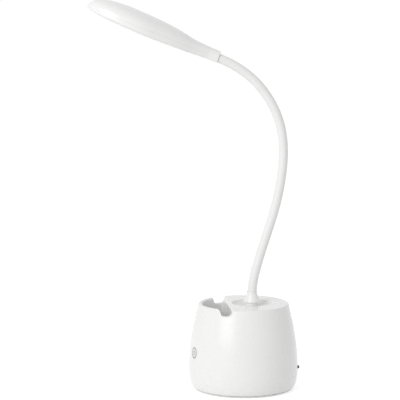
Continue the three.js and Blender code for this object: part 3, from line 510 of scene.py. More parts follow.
rib_reach = 0.0056
rib_low = 0.0078
core_bore = 0.0043


def post_place(angle, across=0.0, out=0.0):
    """A place at a screw post: across and further out from its middle."""
    turn = math.radians(angle)
    reach = post_circle + out
    return (
        reach * math.cos(turn) - across * math.sin(turn),
        reach * math.sin(turn) + across * math.cos(turn),
    )


posts = []
post_bores = []
for angle in post_angles:
    place = post_place(angle)
    posts.append(prism("post", circle(place, post_radius), post_low, post_top))
    rib = [(-rib_half, 0), (rib_half, 0), (rib_half, rib_reach), (-rib_half, rib_reach)]
    rib_outline = [post_place(angle, across, out) for across, out in rib]
    posts.append(prism("rib", rib_outline, rib_low, post_top))
    bore = circle(place, post_bore, 24)
    post_bores.append(prism("bore", bore, foot_height, post_bore_top))
shaped(hollow, "DIFFERENCE", [dish_cup, pocket_cup, rim_block, *posts])
neck_bore = prism(
    "bore", circle((0, well_y), core_bore), well_floor - 2 * well_wall, pot_height
)
shaped(pot, "DIFFERENCE", [hollow, neck_bore, *post_bores])

# Slivers that the cuts leave are merged away, so that the pot's shading is smooth
select_only(pot)
bpy.ops.object.mode_set(mode="EDIT")
bpy.ops.mesh.select_all(action="SELECT")
bpy.ops.mesh.dissolve_degenerate(threshold=0.00001)
bpy.ops.mesh.remove_doubles(threshold=0.00002)
bpy.ops.object.mode_set(mode="OBJECT")


class Link:
    """A node's output, on which sums can be written in plain Python."""

    def __init__(self, tree, socket):
        self.tree = tree
        self.socket = socket

    def add(self, kind, inputs=(), output=0, settings=(), stops=()):
        """A new node of a kind: settings first, then inputs as values or links."""
        node = self.tree.nodes.new(kind)
        for name, value in dict(settings).items():
            setattr(node, name, value)
        for number, (place, colour) in enumerate(stops):
            ramp = node.color_ramp.elements
            stop = ramp[number] if number < 2 else ramp.new(place)
            stop.position = place
            stop.color = (*colour, 1)
        for name, value in dict(inputs).items():
            if isinstance(value, Link):
                self.tree.links.new(value.socket, node.inputs[name])
            else:
                node.inputs[name].default_value = value
        return Link(self.tree, node.outputs[output])

    def into(self, shader, name):
        """Feeds one of a shader's inputs."""
        self.tree.links.new(self.socket, shader.inputs[name])

    def maths(self, operation, first, second):
        """A sum or comparison of two values or links."""
        return self.add(
            "ShaderNodeMath", {0: first, 1: second}, 0, {"operation": operation}
        )

    def __add__(self, other):
        return self.maths("ADD", self, other)

    __radd__ = __add__

    def __sub__(self, other):
        return self.maths("SUBTRACT", self, other)

    def __rsub__(self, other):
        return self.maths("SUBTRACT", other, self)

    def __mul__(self, other):
        return self.maths("MULTIPLY", self, other)

    __rmul__ = __mul__


def finish(name, constants):
    """A new material, the place its patterns are drawn from, and its surface shader."""
    material = bpy.data.materials.new(name)
    material.use_nodes = True
    tree = material.node_tree
    surface = tree.nodes["Principled BSDF"]
    for socket, value in constants.items():
        surface.inputs[socket].default_value = value
    source = tree.nodes.new("ShaderNodeTexCoord")
    return material, Link(tree, source.outputs["Object"]), surface


def noise(place, scale, detail=2.0):
    """Soft cloudy variation from 0 to 1, with so many clouds to a metre."""
    return place.add(
        "ShaderNodeTexNoise", {"Vector": place, "Scale": scale, "Detail": detail}
    )


def tint(mask, low, high):
    """A colour between two, by a mask. Each is a plain colour or a pattern."""
    ends = [c if isinstance(c, Link) else (*c, 1) for c in (low, high)]
    return mask.add(
        "ShaderNodeMix",
        {0: mask, 6: ends[0], 7: ends[1]},
        2,
        {"data_type": "RGBA"},
    )


def relief(height, distance, strength=1.0):
    """Raises and sinks the surface by a height map."""
    return height.add(
        "ShaderNodeBump",
        {"Height": height, "Distance": distance, "Strength": strength},
        "Normal",
    )


def fading(value, inside, outside, course="SMOOTHSTEP"):
    """1 up to a value and 0 beyond another, with a soft change between them."""
    return value.add(
        "ShaderNodeMapRange",
        {"Value": value, 1: inside, 2: outside, 3: 1.0, 4: 0.0},
        0,
        {"interpolation_type": course},
    )


# Gloss white ABS: nearly even in colour, its polish a little cloudy as on a moulded
# skin. The dish's floor is left matt and tinted grey there as painted shade for its
# recess
# How far the matt, painted-shade patch on the dish's floor reaches, out and up
matt_shade_edge = 0.021
matt_shade_heights = (0.0927, 0.0937)
white_gloss, place, surface = finish(
    "white gloss ABS", {"IOR": 1.5, "Coat Weight": 0.15, "Coat Roughness": 0.1}
)
from_well = place.add(
    "ShaderNodeVectorMath",
    {0: place, 1: (0, well_y, well_floor)},
    "Value",
    {"operation": "DISTANCE"},
)
height = place.add("ShaderNodeSeparateXYZ", {"Vector": place}, "Z")
# A mask for the dish's floor, which is both left matt and given painted shade
dish_matt_and_shade = fading(from_well, well_floor_radius, matt_shade_edge) * fading(
    height, *matt_shade_heights
)
cloudy_white = tint(noise(place, 14), (0.92, 0.92, 0.914), (0.94, 0.94, 0.937))
# Painted shade: the dish's floor is tinted grey to stand in for the shade in its recess
tint(dish_matt_and_shade, cloudy_white, (0.87, 0.87, 0.87)).into(surface, "Base Color")
(0.24 + 0.07 * noise(place, 60, 4) + 0.2 * dish_matt_and_shade).into(surface, "Roughness")
relief(noise(place, 55, 1), 0.00002, 0.5).into(surface, "Normal")


def completed(piece, material, evened=False):
    """Gives a piece its material and smooth shading. Evened shading keeps the broad
    faces of a rigid moulding flat beside their rounded edges."""
    piece.data.materials.clear()
    piece.data.materials.append(material)
    select_only(piece)
    bpy.ops.object.shade_smooth_by_angle(angle=math.radians(30))
    if evened:
        change = piece.modifiers.new("evened", "WEIGHTED_NORMAL")
        change.keep_sharp = True
        bpy.ops.object.modifier_apply(modifier=change.name)
    return piece


completed(pot, white_gloss, evened=True)
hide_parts("base_shell")
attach(pot, "base")

# The foot. A white moulded cover that closes the pot from below and carries its edge
# on, with a recess for the pad. Four screws hold it.
cover_top = 0.0045
cover_edge = parting_height - seam / 2
cover_break = 0.0001
recess_radius = 0.0446
recess_top = 0.0021
spigot_radius = lip_radius - seam
spigot_top = 0.0072
spigot_wall = 0.0018
screw_seat_radius = 0.003
screw_seat_top = 0.0029
post_relief_radius = 0.0039
bore_reach = 0.012
relief_reach = 0.02
foot = turned(
    "pot_foot",
    [(0, recess_top), (recess_radius, recess_top), (recess_radius, foot_height)]
    + [p for p in side if p[1] < cover_edge - cover_break]
    + [
        (side_radius(cover_edge) - cover_break, cover_edge),
        (spigot_radius, cover_edge),
        (spigot_radius, spigot_top),
        (spigot_radius - spigot_wall, spigot_top),
        (spigot_radius - spigot_wall, cover_top),
        (0, cover_top),
    ],
    pot_sides,
)
foot_cuts = []
for angle in post_angles:
    for radius, low, high in (
        (post_bore, 0, bore_reach),
        (screw_seat_radius, -past, screw_seat_top),
        (post_relief_radius, cover_top, relief_reach),
    ):
        foot_cuts.append(prism("cut", circle(post_place(angle), radius), low, high))
shaped(foot, "DIFFERENCE", foot_cuts)
completed(foot, white_gloss, evened=True)
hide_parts("bottom_cover")
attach(foot, "base")

# The anti-slip pad. A dark disc of closed-cell foam, stuck in the foot's recess and a
# little proud of it, so that the lamp stands on the pad alone.
pad_radius = 0.0443
pad_round = 0.0005
pad_top = 0.0018
pad = turned(
    "foam_pad",
    [(0, 0)]
    + arc((pad_radius - pad_round, pad_round), pad_round, -90, 0, 5)
    + [(pad_radius, pad_top), (0, pad_top)],
    160,
)
foam, place, surface = finish("closed-cell foam", {"IOR": 1.4})
tint(noise(place, 90, 3), (0.024, 0.024, 0.026), (0.042, 0.042, 0.044)).into(
    surface, "Base Color"
)
(0.8 + 0.15 * noise(place, 500, 3)).into(surface, "Roughness")
cells = place.add("ShaderNodeTexVoronoi", {"Vector": place, "Scale": 1500})
relief(cells + 0.4 * noise(place, 120), 0.00012, 0.7).into(surface, "Normal")
completed(pad, foam)
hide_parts("anti_slip_pad")
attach(pad, "base")

# The foot's four screws, and the two that hold the tray: zinc-plated pan heads with a
# cross recess. They are turned up from below into the pot's posts.
pot_screw_head = (0.0027, 0.0018)
pot_screw_shank = 0.0014
foot_screw_length = 0.013
foot_screw_height = 0.0026
tray_screw_length = 0.008


def pan_screw(name, head_radius, head_height, radius, length):
    """An upright screw: its head hangs below height 0 and its shank stands above it."""
    flat = head_radius * 0.55
    edge = head_height * 0.4
    cross_half = (flat, head_radius * 0.13)
    cross_floor = -head_height * 0.42
    screw = turned(
        name,
        [(0, -head_height)]
        + [(flat, -head_height)]
        + bezier(
            (head_radius * 0.6, -head_height),
            (head_radius * 0.9, -head_height + 0.1 * edge),
            (head_radius, -head_height + 0.5 * edge),
            (head_radius, -head_height + 1.6 * edge),
            6,
        )
        + [(head_radius, 0), (radius, 0), (radius, length - radius)]
        + [(radius * 0.5, length), (0, length)],
        40,
    )
    slots = []
    for half in (cross_half, cross_half[::-1]):
        corners = ((-1, -1), (1, -1), (1, 1), (-1, 1))
        outline = [(half[0] * x, half[1] * y) for x, y in corners]
        slots.append(prism("slot", outline, -head_height - past, cross_floor))
    return shaped(screw, "DIFFERENCE", slots)


def moved(piece, mapping):
    """Lays every point of a piece in its place."""
    for vertex in piece.data.vertices:
        vertex.co = mapping(*vertex.co)
    piece.data.update()
    return piece


def clouded(name, constants, shades, clouds, polish, patches, grain=None):
    """A material whose shade and polish drift softly between two ends. Clouds, patches
    and grain say how fine they are; the grain's distance and strength come last."""
    material, place, surface = finish(name, constants)
    tint(noise(place, *clouds), *shades).into(surface, "Base Color")
    (polish[0] + polish[1] * noise(place, *patches)).into(surface, "Roughness")
    if grain:
        relief(noise(place, *grain[:2]), *grain[2:]).into(surface, "Normal")
    return material


zinc = clouded(
    "zinc plate",
    {"Metallic": 1.0},
    shades=((0.55, 0.56, 0.57), (0.68, 0.69, 0.69)),
    clouds=(500, 3),
    polish=(0.3, 0.15),
    patches=(900, 3),
)
for number, angle in enumerate(post_angles, 1):
    x, y = post_place(angle)
    screw = pan_screw(
        f"foot_screw_{number}", *pot_screw_head, pot_screw_shank, foot_screw_length
    )
    moved(screw, lambda px, py, pz: (x + px, y + py, foot_screw_height + pz))
    completed(screw, zinc)
    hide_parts(f"cover_screw_{number}")
    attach(screw, "base")
for number in (1, 2):
    node = f"tray_screw_{number}"
    low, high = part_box(node)
    x, y = (low.x + high.x) / 2, (low.y + high.y) / 2
    top = high.z - pot_screw_head[1]
    screw = pan_screw(
        f"works_screw_{number}", *pot_screw_head, pot_screw_shank, tray_screw_length
    )
    moved(screw, lambda px, py, pz: (x + px, y - py, top - pz))
    completed(screw, zinc)
    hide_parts(node)
    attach(screw, "base")

# The works in the pot. A stamped steel ballast plate, a matt black tray with a
# shrink-wrapped cell, a green board, and the brass nut on the neck's threaded foot.


def dressed(material, *nodes):
    """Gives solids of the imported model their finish."""
    for node in nodes:
        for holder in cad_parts[node].material_slots:
            holder.material = material


plate = clouded(
    "stamped steel",
    {"Metallic": 1.0},
    shades=((0.4, 0.41, 0.42), (0.52, 0.53, 0.54)),
    clouds=(35, 4),
    polish=(0.35, 0.2),
    patches=(120, 3),
)
dressed(plate, "ballast_plate")

matt_black = clouded(
    "matt black moulding",
    {"IOR": 1.47},
    shades=((0.018, 0.018, 0.019), (0.028, 0.028, 0.03)),
    clouds=(80,),
    polish=(0.5, 0.15),
    patches=(700, 3),
    grain=(3000, 3, 0.00003, 0.5),
)
dressed(matt_black, "electronics_tray", "switch_body")

wrap = clouded(
    "cell wrap",
    {"IOR": 1.5},
    shades=((0.05, 0.18, 0.42), (0.07, 0.22, 0.48)),
    clouds=(60,),
    polish=(0.25, 0.15),
    patches=(240,),
)
dressed(wrap, "battery_cell")

mask, place, surface = finish("solder mask", {"IOR": 1.5})
tracks = place.add(
    "ShaderNodeTexBrick",
    {"Vector": place, "Scale": 260.0, "Mortar Size": 0.012},
    "Fac",
)
tint(tracks, (0.022, 0.13, 0.065), (0.045, 0.22, 0.11)).into(surface, "Base Color")
(0.35 + 0.15 * noise(place, 500)).into(surface, "Roughness")
dressed(mask, "main_board", "touch_sensor")

brass = clouded(
    "turned brass",
    {"Metallic": 1.0},
    shades=((0.62, 0.47, 0.22), (0.74, 0.59, 0.32)),
    clouds=(260, 3),
    polish=(0.22, 0.15),
    patches=(800,),
)
dressed(brass, "gland_nut", "head_ferrule")

# The charging socket. A nickel-plated steel mouth with rounded ends and a black tongue,
# set a little way inside a slot in the pot's back.
mouth_back = 0.0503
mouth_front = 0.0577
mouth_half = (0.0045, 0.00165)
mouth_corner = 0.0016
mouth_sheet = 0.0003
mouth_floor = 0.001
mouth = rounded_box(
    "socket_mouth", socket_place, mouth_half, mouth_corner, mouth_back, mouth_front
)
mouth_inside = rounded_box(
    "inside",
    socket_place,
    [half - mouth_sheet for half in mouth_half],
    mouth_corner - mouth_sheet,
    mouth_back + mouth_floor,
    mouth_front + past,
)
shaped(mouth, "DIFFERENCE", [mouth_inside])
nickel = clouded(
    "nickel plate",
    {"Metallic": 1.0},
    shades=((0.68, 0.68, 0.67), (0.78, 0.78, 0.77)),
    clouds=(300,),
    polish=(0.18, 0.12),
    patches=(900, 3),
)
completed(mouth, nickel)
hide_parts("charge_socket")
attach(mouth, "base")

tongue_half = (0.0031, 0.00035)
tongue_corner = 0.00015
tongue_back = 0.0514
tongue_front = 0.0569
tongue = rounded_box(
    "socket_tongue",
    socket_place,
    tongue_half,
    tongue_corner,
    tongue_back,
    tongue_front,
)
completed(tongue, matt_black)
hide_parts("charge_socket")
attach(tongue, "base")

# The slide switch's nub. A small dark moulding with a crowned, ribbed face, which
# slides sideways in its slot at the pot's back.
nub_place = (0.00675, switch_place[1])
nub_half = (0.002, 0.0015)
nub_corner = 0.0009
nub_least_corner = 0.0001
nub_back = 0.0548
nub_front = 0.0613
nub_round = 0.0008
root_half = (0.001, 0.00075)
root_corner = 0.0002
root_back = 0.0536
root_front = 0.055
groove_half = (0.00022, 0.003)
groove_corner = 0.0001
groove_pitch = 0.0009
groove_depth = 0.0004
nub_rings = [(0.0, nub_back), (0.0, nub_front - nub_round)]
nub_rings += [
    (nub_round - drop, nub_front - nub_round + out)
    for drop, out in arc((0, 0), nub_round, 0, 90, 6)[1:]
]
nub_outlines = []
for inset, y in nub_rings:
    half = [size - inset for size in nub_half]
    corner = max(nub_corner - inset, nub_least_corner)
    outline = rounded_outline(nub_place, half, corner)
    nub_outlines.append([(x, y, z) for x, z in outline])
nub = lofted("switch_nub", nub_outlines)
root = rounded_box("root", nub_place, root_half, root_corner, root_back, root_front)
shaped(nub, "UNION", [root])
grooves = [
    rounded_box(
        "groove",
        (nub_place[0] + across, nub_place[1]),
        groove_half,
        groove_corner,
        nub_front - groove_depth,
        nub_front + past,
    )
    for across in (-groove_pitch, 0, groove_pitch)
]
shaped(nub, "DIFFERENCE", grooves)
dark_grey = clouded(
    "dark grey moulding",
    {"IOR": 1.47},
    shades=((0.075, 0.077, 0.08), (0.095, 0.097, 0.1)),
    clouds=(200,),
    polish=(0.5, 0.15),
    patches=(900, 3),
    grain=(3000, 3, 0.00002, 0.5),
)
completed(nub, dark_grey)
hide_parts("switch_knob")
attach(nub, "switch_slider")

# The neck's collar. A white cone that stands on a narrower stem in the dish, with a
# fine step under its mouth, where the neck comes out.
stem_radius = 0.0066
skirt_height = 0.0960
skirt_radius = 0.0086
skirt_round = 0.0006
cone_handles = [(0.0091, 0.0970), (0.0084, 0.0983), (0.0070, 0.1015), (0.0060, 0.1046)]
collar_top = 0.1073
mouth_low = 0.1047
mouth_radius = 0.0056
mouth_bore = 0.0053
mouth_bore_low = 0.1007
collar = turned(
    "neck_flare",
    [
        (core_bore, well_floor),
        (stem_radius, well_floor),
        (stem_radius, skirt_height - 0.0003),
        (stem_radius + 0.0001, skirt_height),
        (stem_radius + 0.0004, skirt_height + 0.0001),
        (skirt_radius, skirt_height),
    ]
    + arc((skirt_radius, skirt_height + skirt_round), skirt_round, -90, 20, 6)[1:]
    + bezier(*cone_handles, 16)
    + [
        (mouth_radius + 0.0003, mouth_low),
        (mouth_radius + 0.0001, mouth_low + 0.0001),
        (mouth_radius, collar_top - 0.0003),
        (mouth_radius - 0.0001, collar_top - 0.0001),
        (mouth_radius - 0.0002, collar_top),
        (mouth_bore, collar_top),
        (mouth_bore, mouth_bore_low),
        (core_bore, mouth_bore_low),
        (core_bore, well_floor),
    ],
    96,
    well_y,
)
completed(collar, white_gloss)
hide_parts("neck_collar")
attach(collar, "base")

# The neck. A smooth white silicone sleeve over a stiff core, made in ten sections that
# meet end to end, one to each place where the neck bends.
neck_start = 0.101
neck_pitch = 0.0298
neck_bends = [15, 3, -0.5, -6, -6, -11.5, -17, -15.5, -17, -13]
neck_length = neck_pitch * len(neck_bends)
sleeve_radius = 0.005
sleeve_bore = 0.0038
sleeve_sides = 48
sleeve_steps = 16
neck_bodies = ["base"] + [f"neck_{number}" for number in range(1, 10)] + ["lamp_head"]


def neck_at(length):
    """The neck's middle at a length: its place (y, z) and its heading from upright."""
    y, z, heading = well_y, neck_start + min(length, 0), 0.0
    for number, bend in enumerate(neck_bends):
        run = min(max(length - number * neck_pitch, 0), neck_pitch)
        half = math.radians(bend) * run / neck_pitch / 2
        chord = run * math.sin(half) / half if half else run
        y += chord * math.sin(heading + half)
        z += chord * math.cos(heading + half)
        heading += 2 * half
    beyond = max(length - neck_length, 0)
    return y + beyond * math.sin(heading), z + beyond * math.cos(heading), heading


def ring_at(y, z, heading, radius, sides):
    """A ring square to a line in the lamp's middle plane, at a place and heading."""
    return [
        (
            radius * math.cos(math.tau * i / sides),
            y + radius * math.sin(math.tau * i / sides) * math.cos(heading),
            z - radius * math.sin(math.tau * i / sides) * math.sin(heading),
        )
        for i in range(sides)
    ]


def neck_ring(length, radius, sides):
    """A ring round the neck's middle at a length."""
    return ring_at(*neck_at(length), radius, sides)


silicone = clouded(
    "neck silicone",
    {"IOR": 1.43},
    shades=((0.9, 0.9, 0.893), (0.92, 0.921, 0.916)),
    clouds=(40,),
    polish=(0.4, 0.12),
    patches=(300, 4),
    grain=(2600, 4, 0.00002, 0.5),
)

for number in range(1, len(neck_bends) + 1):
    start = (number - 1) * neck_pitch
    end = number * neck_pitch
    first = seam if number == 1 else start
    last = neck_length - seam if number == len(neck_bends) else end
    run = last - first
    lengths = [first + run * i / sleeve_steps for i in range(sleeve_steps + 1)]
    rings = [neck_ring(at, sleeve_radius, sleeve_sides) for at in lengths]
    rings += [neck_ring(at, sleeve_bore, sleeve_sides) for at in reversed(lengths)]
    sleeve = lofted(f"sleeve_{number}", rings, joined=True)
    completed(sleeve, silicone)
    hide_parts(f"neck_sleeve_{number}")
    held = collar_top - neck_start if number == 1 else 0
    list(neck_at(start + held)[:2])
    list(neck_at(end - held)[:2])
    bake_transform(sleeve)

# The neck's core. Steel links, each with a ball that turns in the next one's cup, stiff
# enough to stay as they are bent. The sleeve hides them.
core_steel = clouded(
    "link steel",
    {"Metallic": 1.0},
    shades=((0.5, 0.51, 0.52), (0.62, 0.63, 0.64)),
    clouds=(300, 3),
    polish=(0.26, 0.16),
    patches=(900, 3),
)
dressed(
    core_steel, "core_foot", "core_end", *[f"core_link_{i}" for i in range(1, 10)]
)

# The lead. A thin white two-core cable that runs from the board up the core's bore to
# the light, laid along the neck's curve.
lead_radius = 0.001
lead_sides = 12
lead_start = -0.018
lead_bend = 0.006
jacket = clouded(
    "lead jacket",
    {"IOR": 1.45},
    shades=((0.68, 0.68, 0.665), (0.76, 0.76, 0.75)),
    clouds=(70,),
    polish=(0.42, 0.12),
    patches=(600, 3),
)


def smoothed(rows, steps):
    """More rows between the given ones, on a smooth curve through them."""
    found = []
    for i in range(len(rows) - 1):
        before, low, high = rows[max(i - 1, 0)], rows[i], rows[i + 1]
        after = rows[min(i + 2, len(rows) - 1)]
        for j in range(steps):
            t = j / steps
            row = []
            for a, b, c, d in zip(before, low, high, after):
                u = (c - a) / 2
                v = (d - b) / 2
                row.append(
                    (2 * b - 2 * c + u + v) * t**3
                    + (3 * c - 3 * b - 2 * u - v) * t * t
                    + u * t
                    + b
                )
            found.append(tuple(row))
    return found + [rows[-1]]


def lead_run(name, path):
    """A stretch of the lead along (y, z) places."""
    rings = []
    for number, (y, z) in enumerate(path):
        back = path[max(number - 1, 0)]
        on = path[min(number + 1, len(path) - 1)]
        heading = math.atan2(on[0] - back[0], on[1] - back[1])
        rings.append(ring_at(y, z, heading, lead_radius, lead_sides))
    piece = lofted(name, rings)
    completed(piece, jacket)
    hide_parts("lamp_lead")
    return piece


lead_in_pot = [(0.042, 0.0211), (0.042, 0.027), (0.038, 0.038), (0.024, 0.052)]
lead_in_pot += [(0.012, 0.062), (0.0094, 0.072), neck_at(lead_start)[:2]]
pot_run = smoothed(lead_in_pot, 8)[:-1]
pot_run += [neck_at(lead_start * (1 - i / 6))[:2] for i in range(7)]
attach(lead_run("lead_in_pot", pot_run), "base")

for number in range(1, len(neck_bends) + 1):
    start = (number - 1) * neck_pitch
    pivot = start + neck_pitch / 2
    run = [neck_at(start + neck_pitch * i / 24)[:2] for i in range(25)]
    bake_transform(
        lead_run(f"lead_{number}", run),
        neck_bodies[number - 1],
        neck_bodies[number],
        start=(0, *neck_at(pivot - lead_bend)[:2]),
        end=(0, *neck_at(pivot + lead_bend)[:2]),
    )

# The lamp head. Two glossy white shells, leaf-shaped from above and thin from the side,
# with a round-ended ring at the neck that carries both.
head_length = 0.152
head_half = 0.032
head_rise = 0.0168
head_drop = 0.0074
head_wall = 0.0018
ring_length = 0.012
head_joint = 0.00004
shell_start = ring_length + head_joint
hollow_start = 0.0193
hollow_end = head_length - 2 * head_wall
# How far a half's inner rings keep from its two ends
ring_gaps = (0.0008, 0.0001)
parting = head_joint / 2
parting_round = 0.00006
upper_fullness = 2.2
lower_fullness = 5
light_fullness = 2.2
# Share of the head's length, then of its rise, drop and half width
head_rows = [
    (0, 0.45, 0.75, 0.2),
    (0.05, 0.465, 0.755, 0.212),
    (0.1, 0.485, 0.77, 0.245),
    (0.2, 0.555, 0.86, 0.4),
    (0.32, 0.765, 0.95, 0.64),
    (0.45, 0.905, 1, 0.84),
    (0.6, 0.98, 0.98, 1),
    (0.75, 1, 0.82, 0.96),
    (0.87, 0.89, 0.66, 0.77),
    (0.95, 0.66, 0.42, 0.51),
    (0.985, 0.37, 0.22, 0.29),
    (1, 0.12, 0.1, 0.1),
]
head_place = neck_at(neck_length)
fine_rows = smoothed(head_rows, 7)


def row_at(along):
    """The head's rise, drop and half width at a length from the neck."""
    share = min(max(along / head_length, 0), 1)
    for low, high in zip(fine_rows, fine_rows[1:]):
        if share <= high[0]:
            part = (share - low[0]) / (high[0] - low[0])
            return [a + (b - a) * part for a, b in zip(low[1:], high[1:])]
    return list(fine_rows[-1][1:])


def head_point(x, up, along):
    """A place in the head's own frame: across, up from the neck's line, along it."""
    y, z, heading = head_place
    return (
        x,
        y + up * math.cos(heading) + along * math.sin(heading),
        z - up * math.sin(heading) + along * math.cos(heading),
    )


def oval(angle, fullness):
    """A point of an oval of half size 1, which gets squarer as it gets fuller."""
    return [
        math.copysign(abs(share) ** (2 / fullness), share)
        for share in (math.cos(angle), math.sin(angle))
    ]


def half_section(along, inset, hand, base, rounding, steps=44):
    """The head's upper (hand 1) or lower (hand -1) half at a length, with its flat."""
    rise, drop, half = row_at(along)
    tall = (rise * head_rise if hand > 0 else drop * head_drop) - inset
    wide = half * head_half - inset
    fullness = upper_fullness if hand > 0 else lower_fullness
    low = base + rounding
    first = math.asin(min(max(low, 0) / tall, 1) ** (fullness / 2))
    points = []
    for i in range(steps + 1):
        across, up = oval(first + (math.pi - 2 * first) * i / steps, fullness)
        points.append((wide * across, hand * max(tall * up, low)))
    edge = points[0][0]
    for share, level in ((0.3, 0.3), (1, 0)):
        x = edge - rounding * share
        y = hand * (base + rounding * level)
        points = [(x, y)] + points + [(-x, y)]
    return [head_point(x, y, along) for x, y in points]


def half_body(name, start, end, inset, hand, base, rounding):
    """Half of the head from one length to another, with its ends slightly rounded."""
    places = [start] + [
        row[0] * head_length
        for row in fine_rows
        if start + ring_gaps[0] < row[0] * head_length < end - ring_gaps[1]
    ]
    rings = [half_section(at, inset, hand, base, rounding) for at in places + [end]]
    if rounding:
        end_face = half_section(start, inset + rounding, hand, base, rounding)
        shift = Vector(head_point(0, 0, rounding)) - Vector(head_point(0, 0, 0))
        rings[0] = [tuple(Vector(p) + shift) for p in rings[0]]
        rings = [end_face] + rings
    return lofted(name, rings)


def head_rod(name, x, along, radius, low, high):
    """A rod up through the head at a place."""
    rings = []
    for up in (low, high):
        ring = circle((x, along), radius)
        rings.append([head_point(px, up, pz) for px, pz in ring])
    return lofted(name, rings)


def neck_rod(name, radius, start, end):
    """A rod along the neck's line into the head."""
    rings = [neck_ring(neck_length + at, radius, sleeve_sides) for at in (start, end)]
    return lofted(name, rings)


light_middle = 0.088
light_half_length = 0.044
light_half_width = 0.021


def light_plate(name, inset, low, high):
    """A plate with the light's oval outline, drawn in by an inset."""
    rings = []
    for up in (low, high):
        ring = []
        for i in range(96):
            along, across = oval(math.tau * i / 96, light_fullness)
            ring.append(
                head_point(
                    (light_half_width - inset) * across,
                    up,
                    light_middle + (light_half_length - inset) * along,
                )
            )
        rings.append(ring)
    return lofted(name, rings)


ferrule_bore = 0.0042
ferrule_end = 0.031
flange_bore = 0.0049
flange_run = (0.0147, 0.0169)


def ferrule_space():
    """The room for the ferrule and for its flange in the head's end."""
    return [
        neck_rod("bore", ferrule_bore, -past, ferrule_end),
        neck_rod("flange", flange_bore, *flange_run),
    ]


screw_x = 0.0092
screw_along = 0.0365
head_post_radius = 0.0026
head_post_top = 0.010
head_post_bore = 0.0015
head_post_bore_top = 0.0042
sink_radius = 0.0025
sink_top = -0.0041
light_seat = -0.0044
light_rim = 0.0015
window_inset = 0.0025
hollow_overlap = 0.001


def screw_posts(radius, low, high):
    """Rods at the head's two screws."""
    return [
        head_rod("post", hand * screw_x, screw_along, radius, low, high)
        for hand in (-1, 1)
    ]


head_top = half_body(
    "head_top", shell_start, head_length, 0, 1, parting, parting_round
)
top_hollow = half_body(
    "hollow", hollow_start, hollow_end, head_wall, 1, -hollow_overlap, 0
)
shaped(top_hollow, "DIFFERENCE", screw_posts(head_post_radius, -past, head_post_top))
shaped(
    head_top,
    "DIFFERENCE",
    [
        top_hollow,
        *ferrule_space(),
        *screw_posts(head_post_bore, -past, head_post_bore_top),
    ],
)
completed(head_top, white_gloss, evened=True)
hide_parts("head_upper_shell")
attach(head_top, "lamp_head")

head_underside = half_body(
    "head_underside", shell_start, head_length, 0, -1, parting, parting_round
)
low_hollow = half_body(
    "hollow", hollow_start, hollow_end, head_wall, -1, -hollow_overlap, 0
)
shaped(
    low_hollow,
    "DIFFERENCE",
    [
        light_plate("seat_rim", -light_rim, -head_drop - past, -parting),
        *screw_posts(head_post_radius, -head_drop - past, past),
    ],
)
shaped(
    head_underside,
    "DIFFERENCE",
    [
        low_hollow,
        light_plate("seat", -seam, light_seat, past),
        light_plate("window", window_inset, -head_drop - past, past),
        *ferrule_space(),
        *screw_posts(head_post_bore, -head_drop - past, past),
        *screw_posts(sink_radius, -head_drop - past, sink_top),
    ],
)
completed(head_underside, white_gloss, evened=True)
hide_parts("head_lower_frame")
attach(head_underside, "lamp_head")


def whole_section(along, inset):
    """The head's whole section at a length."""
    rise, drop, half = row_at(along)
    ring = []
    for i in range(72):
        angle = math.tau * i / 72
        upper = math.sin(angle) >= 0
        tall = (rise * head_rise if upper else drop * head_drop) - inset
        across, up = oval(angle, upper_fullness if upper else lower_fullness)
        ring.append(((half * head_half - inset) * across, tall * up))
    return ring


ring_round = 0.0009
ring_edge = 0.00012
ring_steps = [
    (ring_round + z, ring_round + r)
    for z, r in arc((0, 0), ring_round, 180, 270, 6)
]
ring_steps += [(ring_length * i / 8, 0) for i in range(1, 8)]
ring_steps += [(ring_length - ring_edge, 0), (ring_length, ring_edge)]
head_ring = lofted(
    "head_end",
    [
        [head_point(x, y, along) for x, y in whole_section(along, inset)]
        for along, inset in ring_steps
    ],
)
shaped(head_ring, "DIFFERENCE", [neck_rod("bore", ferrule_bore, -past, ferrule_end)])
completed(head_ring, white_gloss)
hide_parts("head_end_ring")
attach(head_ring, "lamp_head")

# The head's two screws. Small zinc-plated pan heads, sunk in the underside near the
# neck.
head_screw_size = (0.0022, 0.0015, 0.0012, 0.008)
head_screw_seat = 0.0033 - head_drop
for number, hand in enumerate((-1, 1), 1):
    screw = pan_screw(f"shell_screw_{number}", *head_screw_size)
    moved(
        screw,
        lambda px, py, pz: head_point(
            hand * screw_x + px, head_screw_seat + pz, screw_along - py
        ),
    )
    completed(screw, zinc)
    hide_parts(f"head_screw_{number}")
    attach(screw, "lamp_head")

# The light. A white aluminium board with two rows of lights, and a white ring that
# throws their light down. The lead is soldered to the board's back.
lights = clouded(
    "white board",
    {"IOR": 1.5},
    shades=((0.78, 0.79, 0.79), (0.86, 0.87, 0.87)),
    clouds=(50,),
    polish=(0.38, 0.15),
    patches=(600,),
)
dressed(lights, "led_board")
reflector = clouded(
    "white reflector",
    {"IOR": 1.49},
    shades=((0.87, 0.87, 0.87), (0.91, 0.91, 0.91)),
    clouds=(50,),
    polish=(0.3, 0.15),
    patches=(300,),
)
dressed(reflector, "reflector_ring")

lead_end = 0.028
lead_in_head = [neck_at(neck_length + lead_end * i / 9)[:2] for i in range(10)]
lead_in_head += [
    head_point(0, up, along)[1:]
    for up, along in smoothed(
        [
            (0, 0.0280),
            (0, 0.0325),
            (0.0018, 0.037),
            (0.006, 0.0435),
            (0.0075, 0.048),
            (0.006, 0.0515),
            (0.003, 0.0515),
        ],
        8,
    )[1:]
]
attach(lead_run("lead_in_head", lead_in_head), "lamp_head")

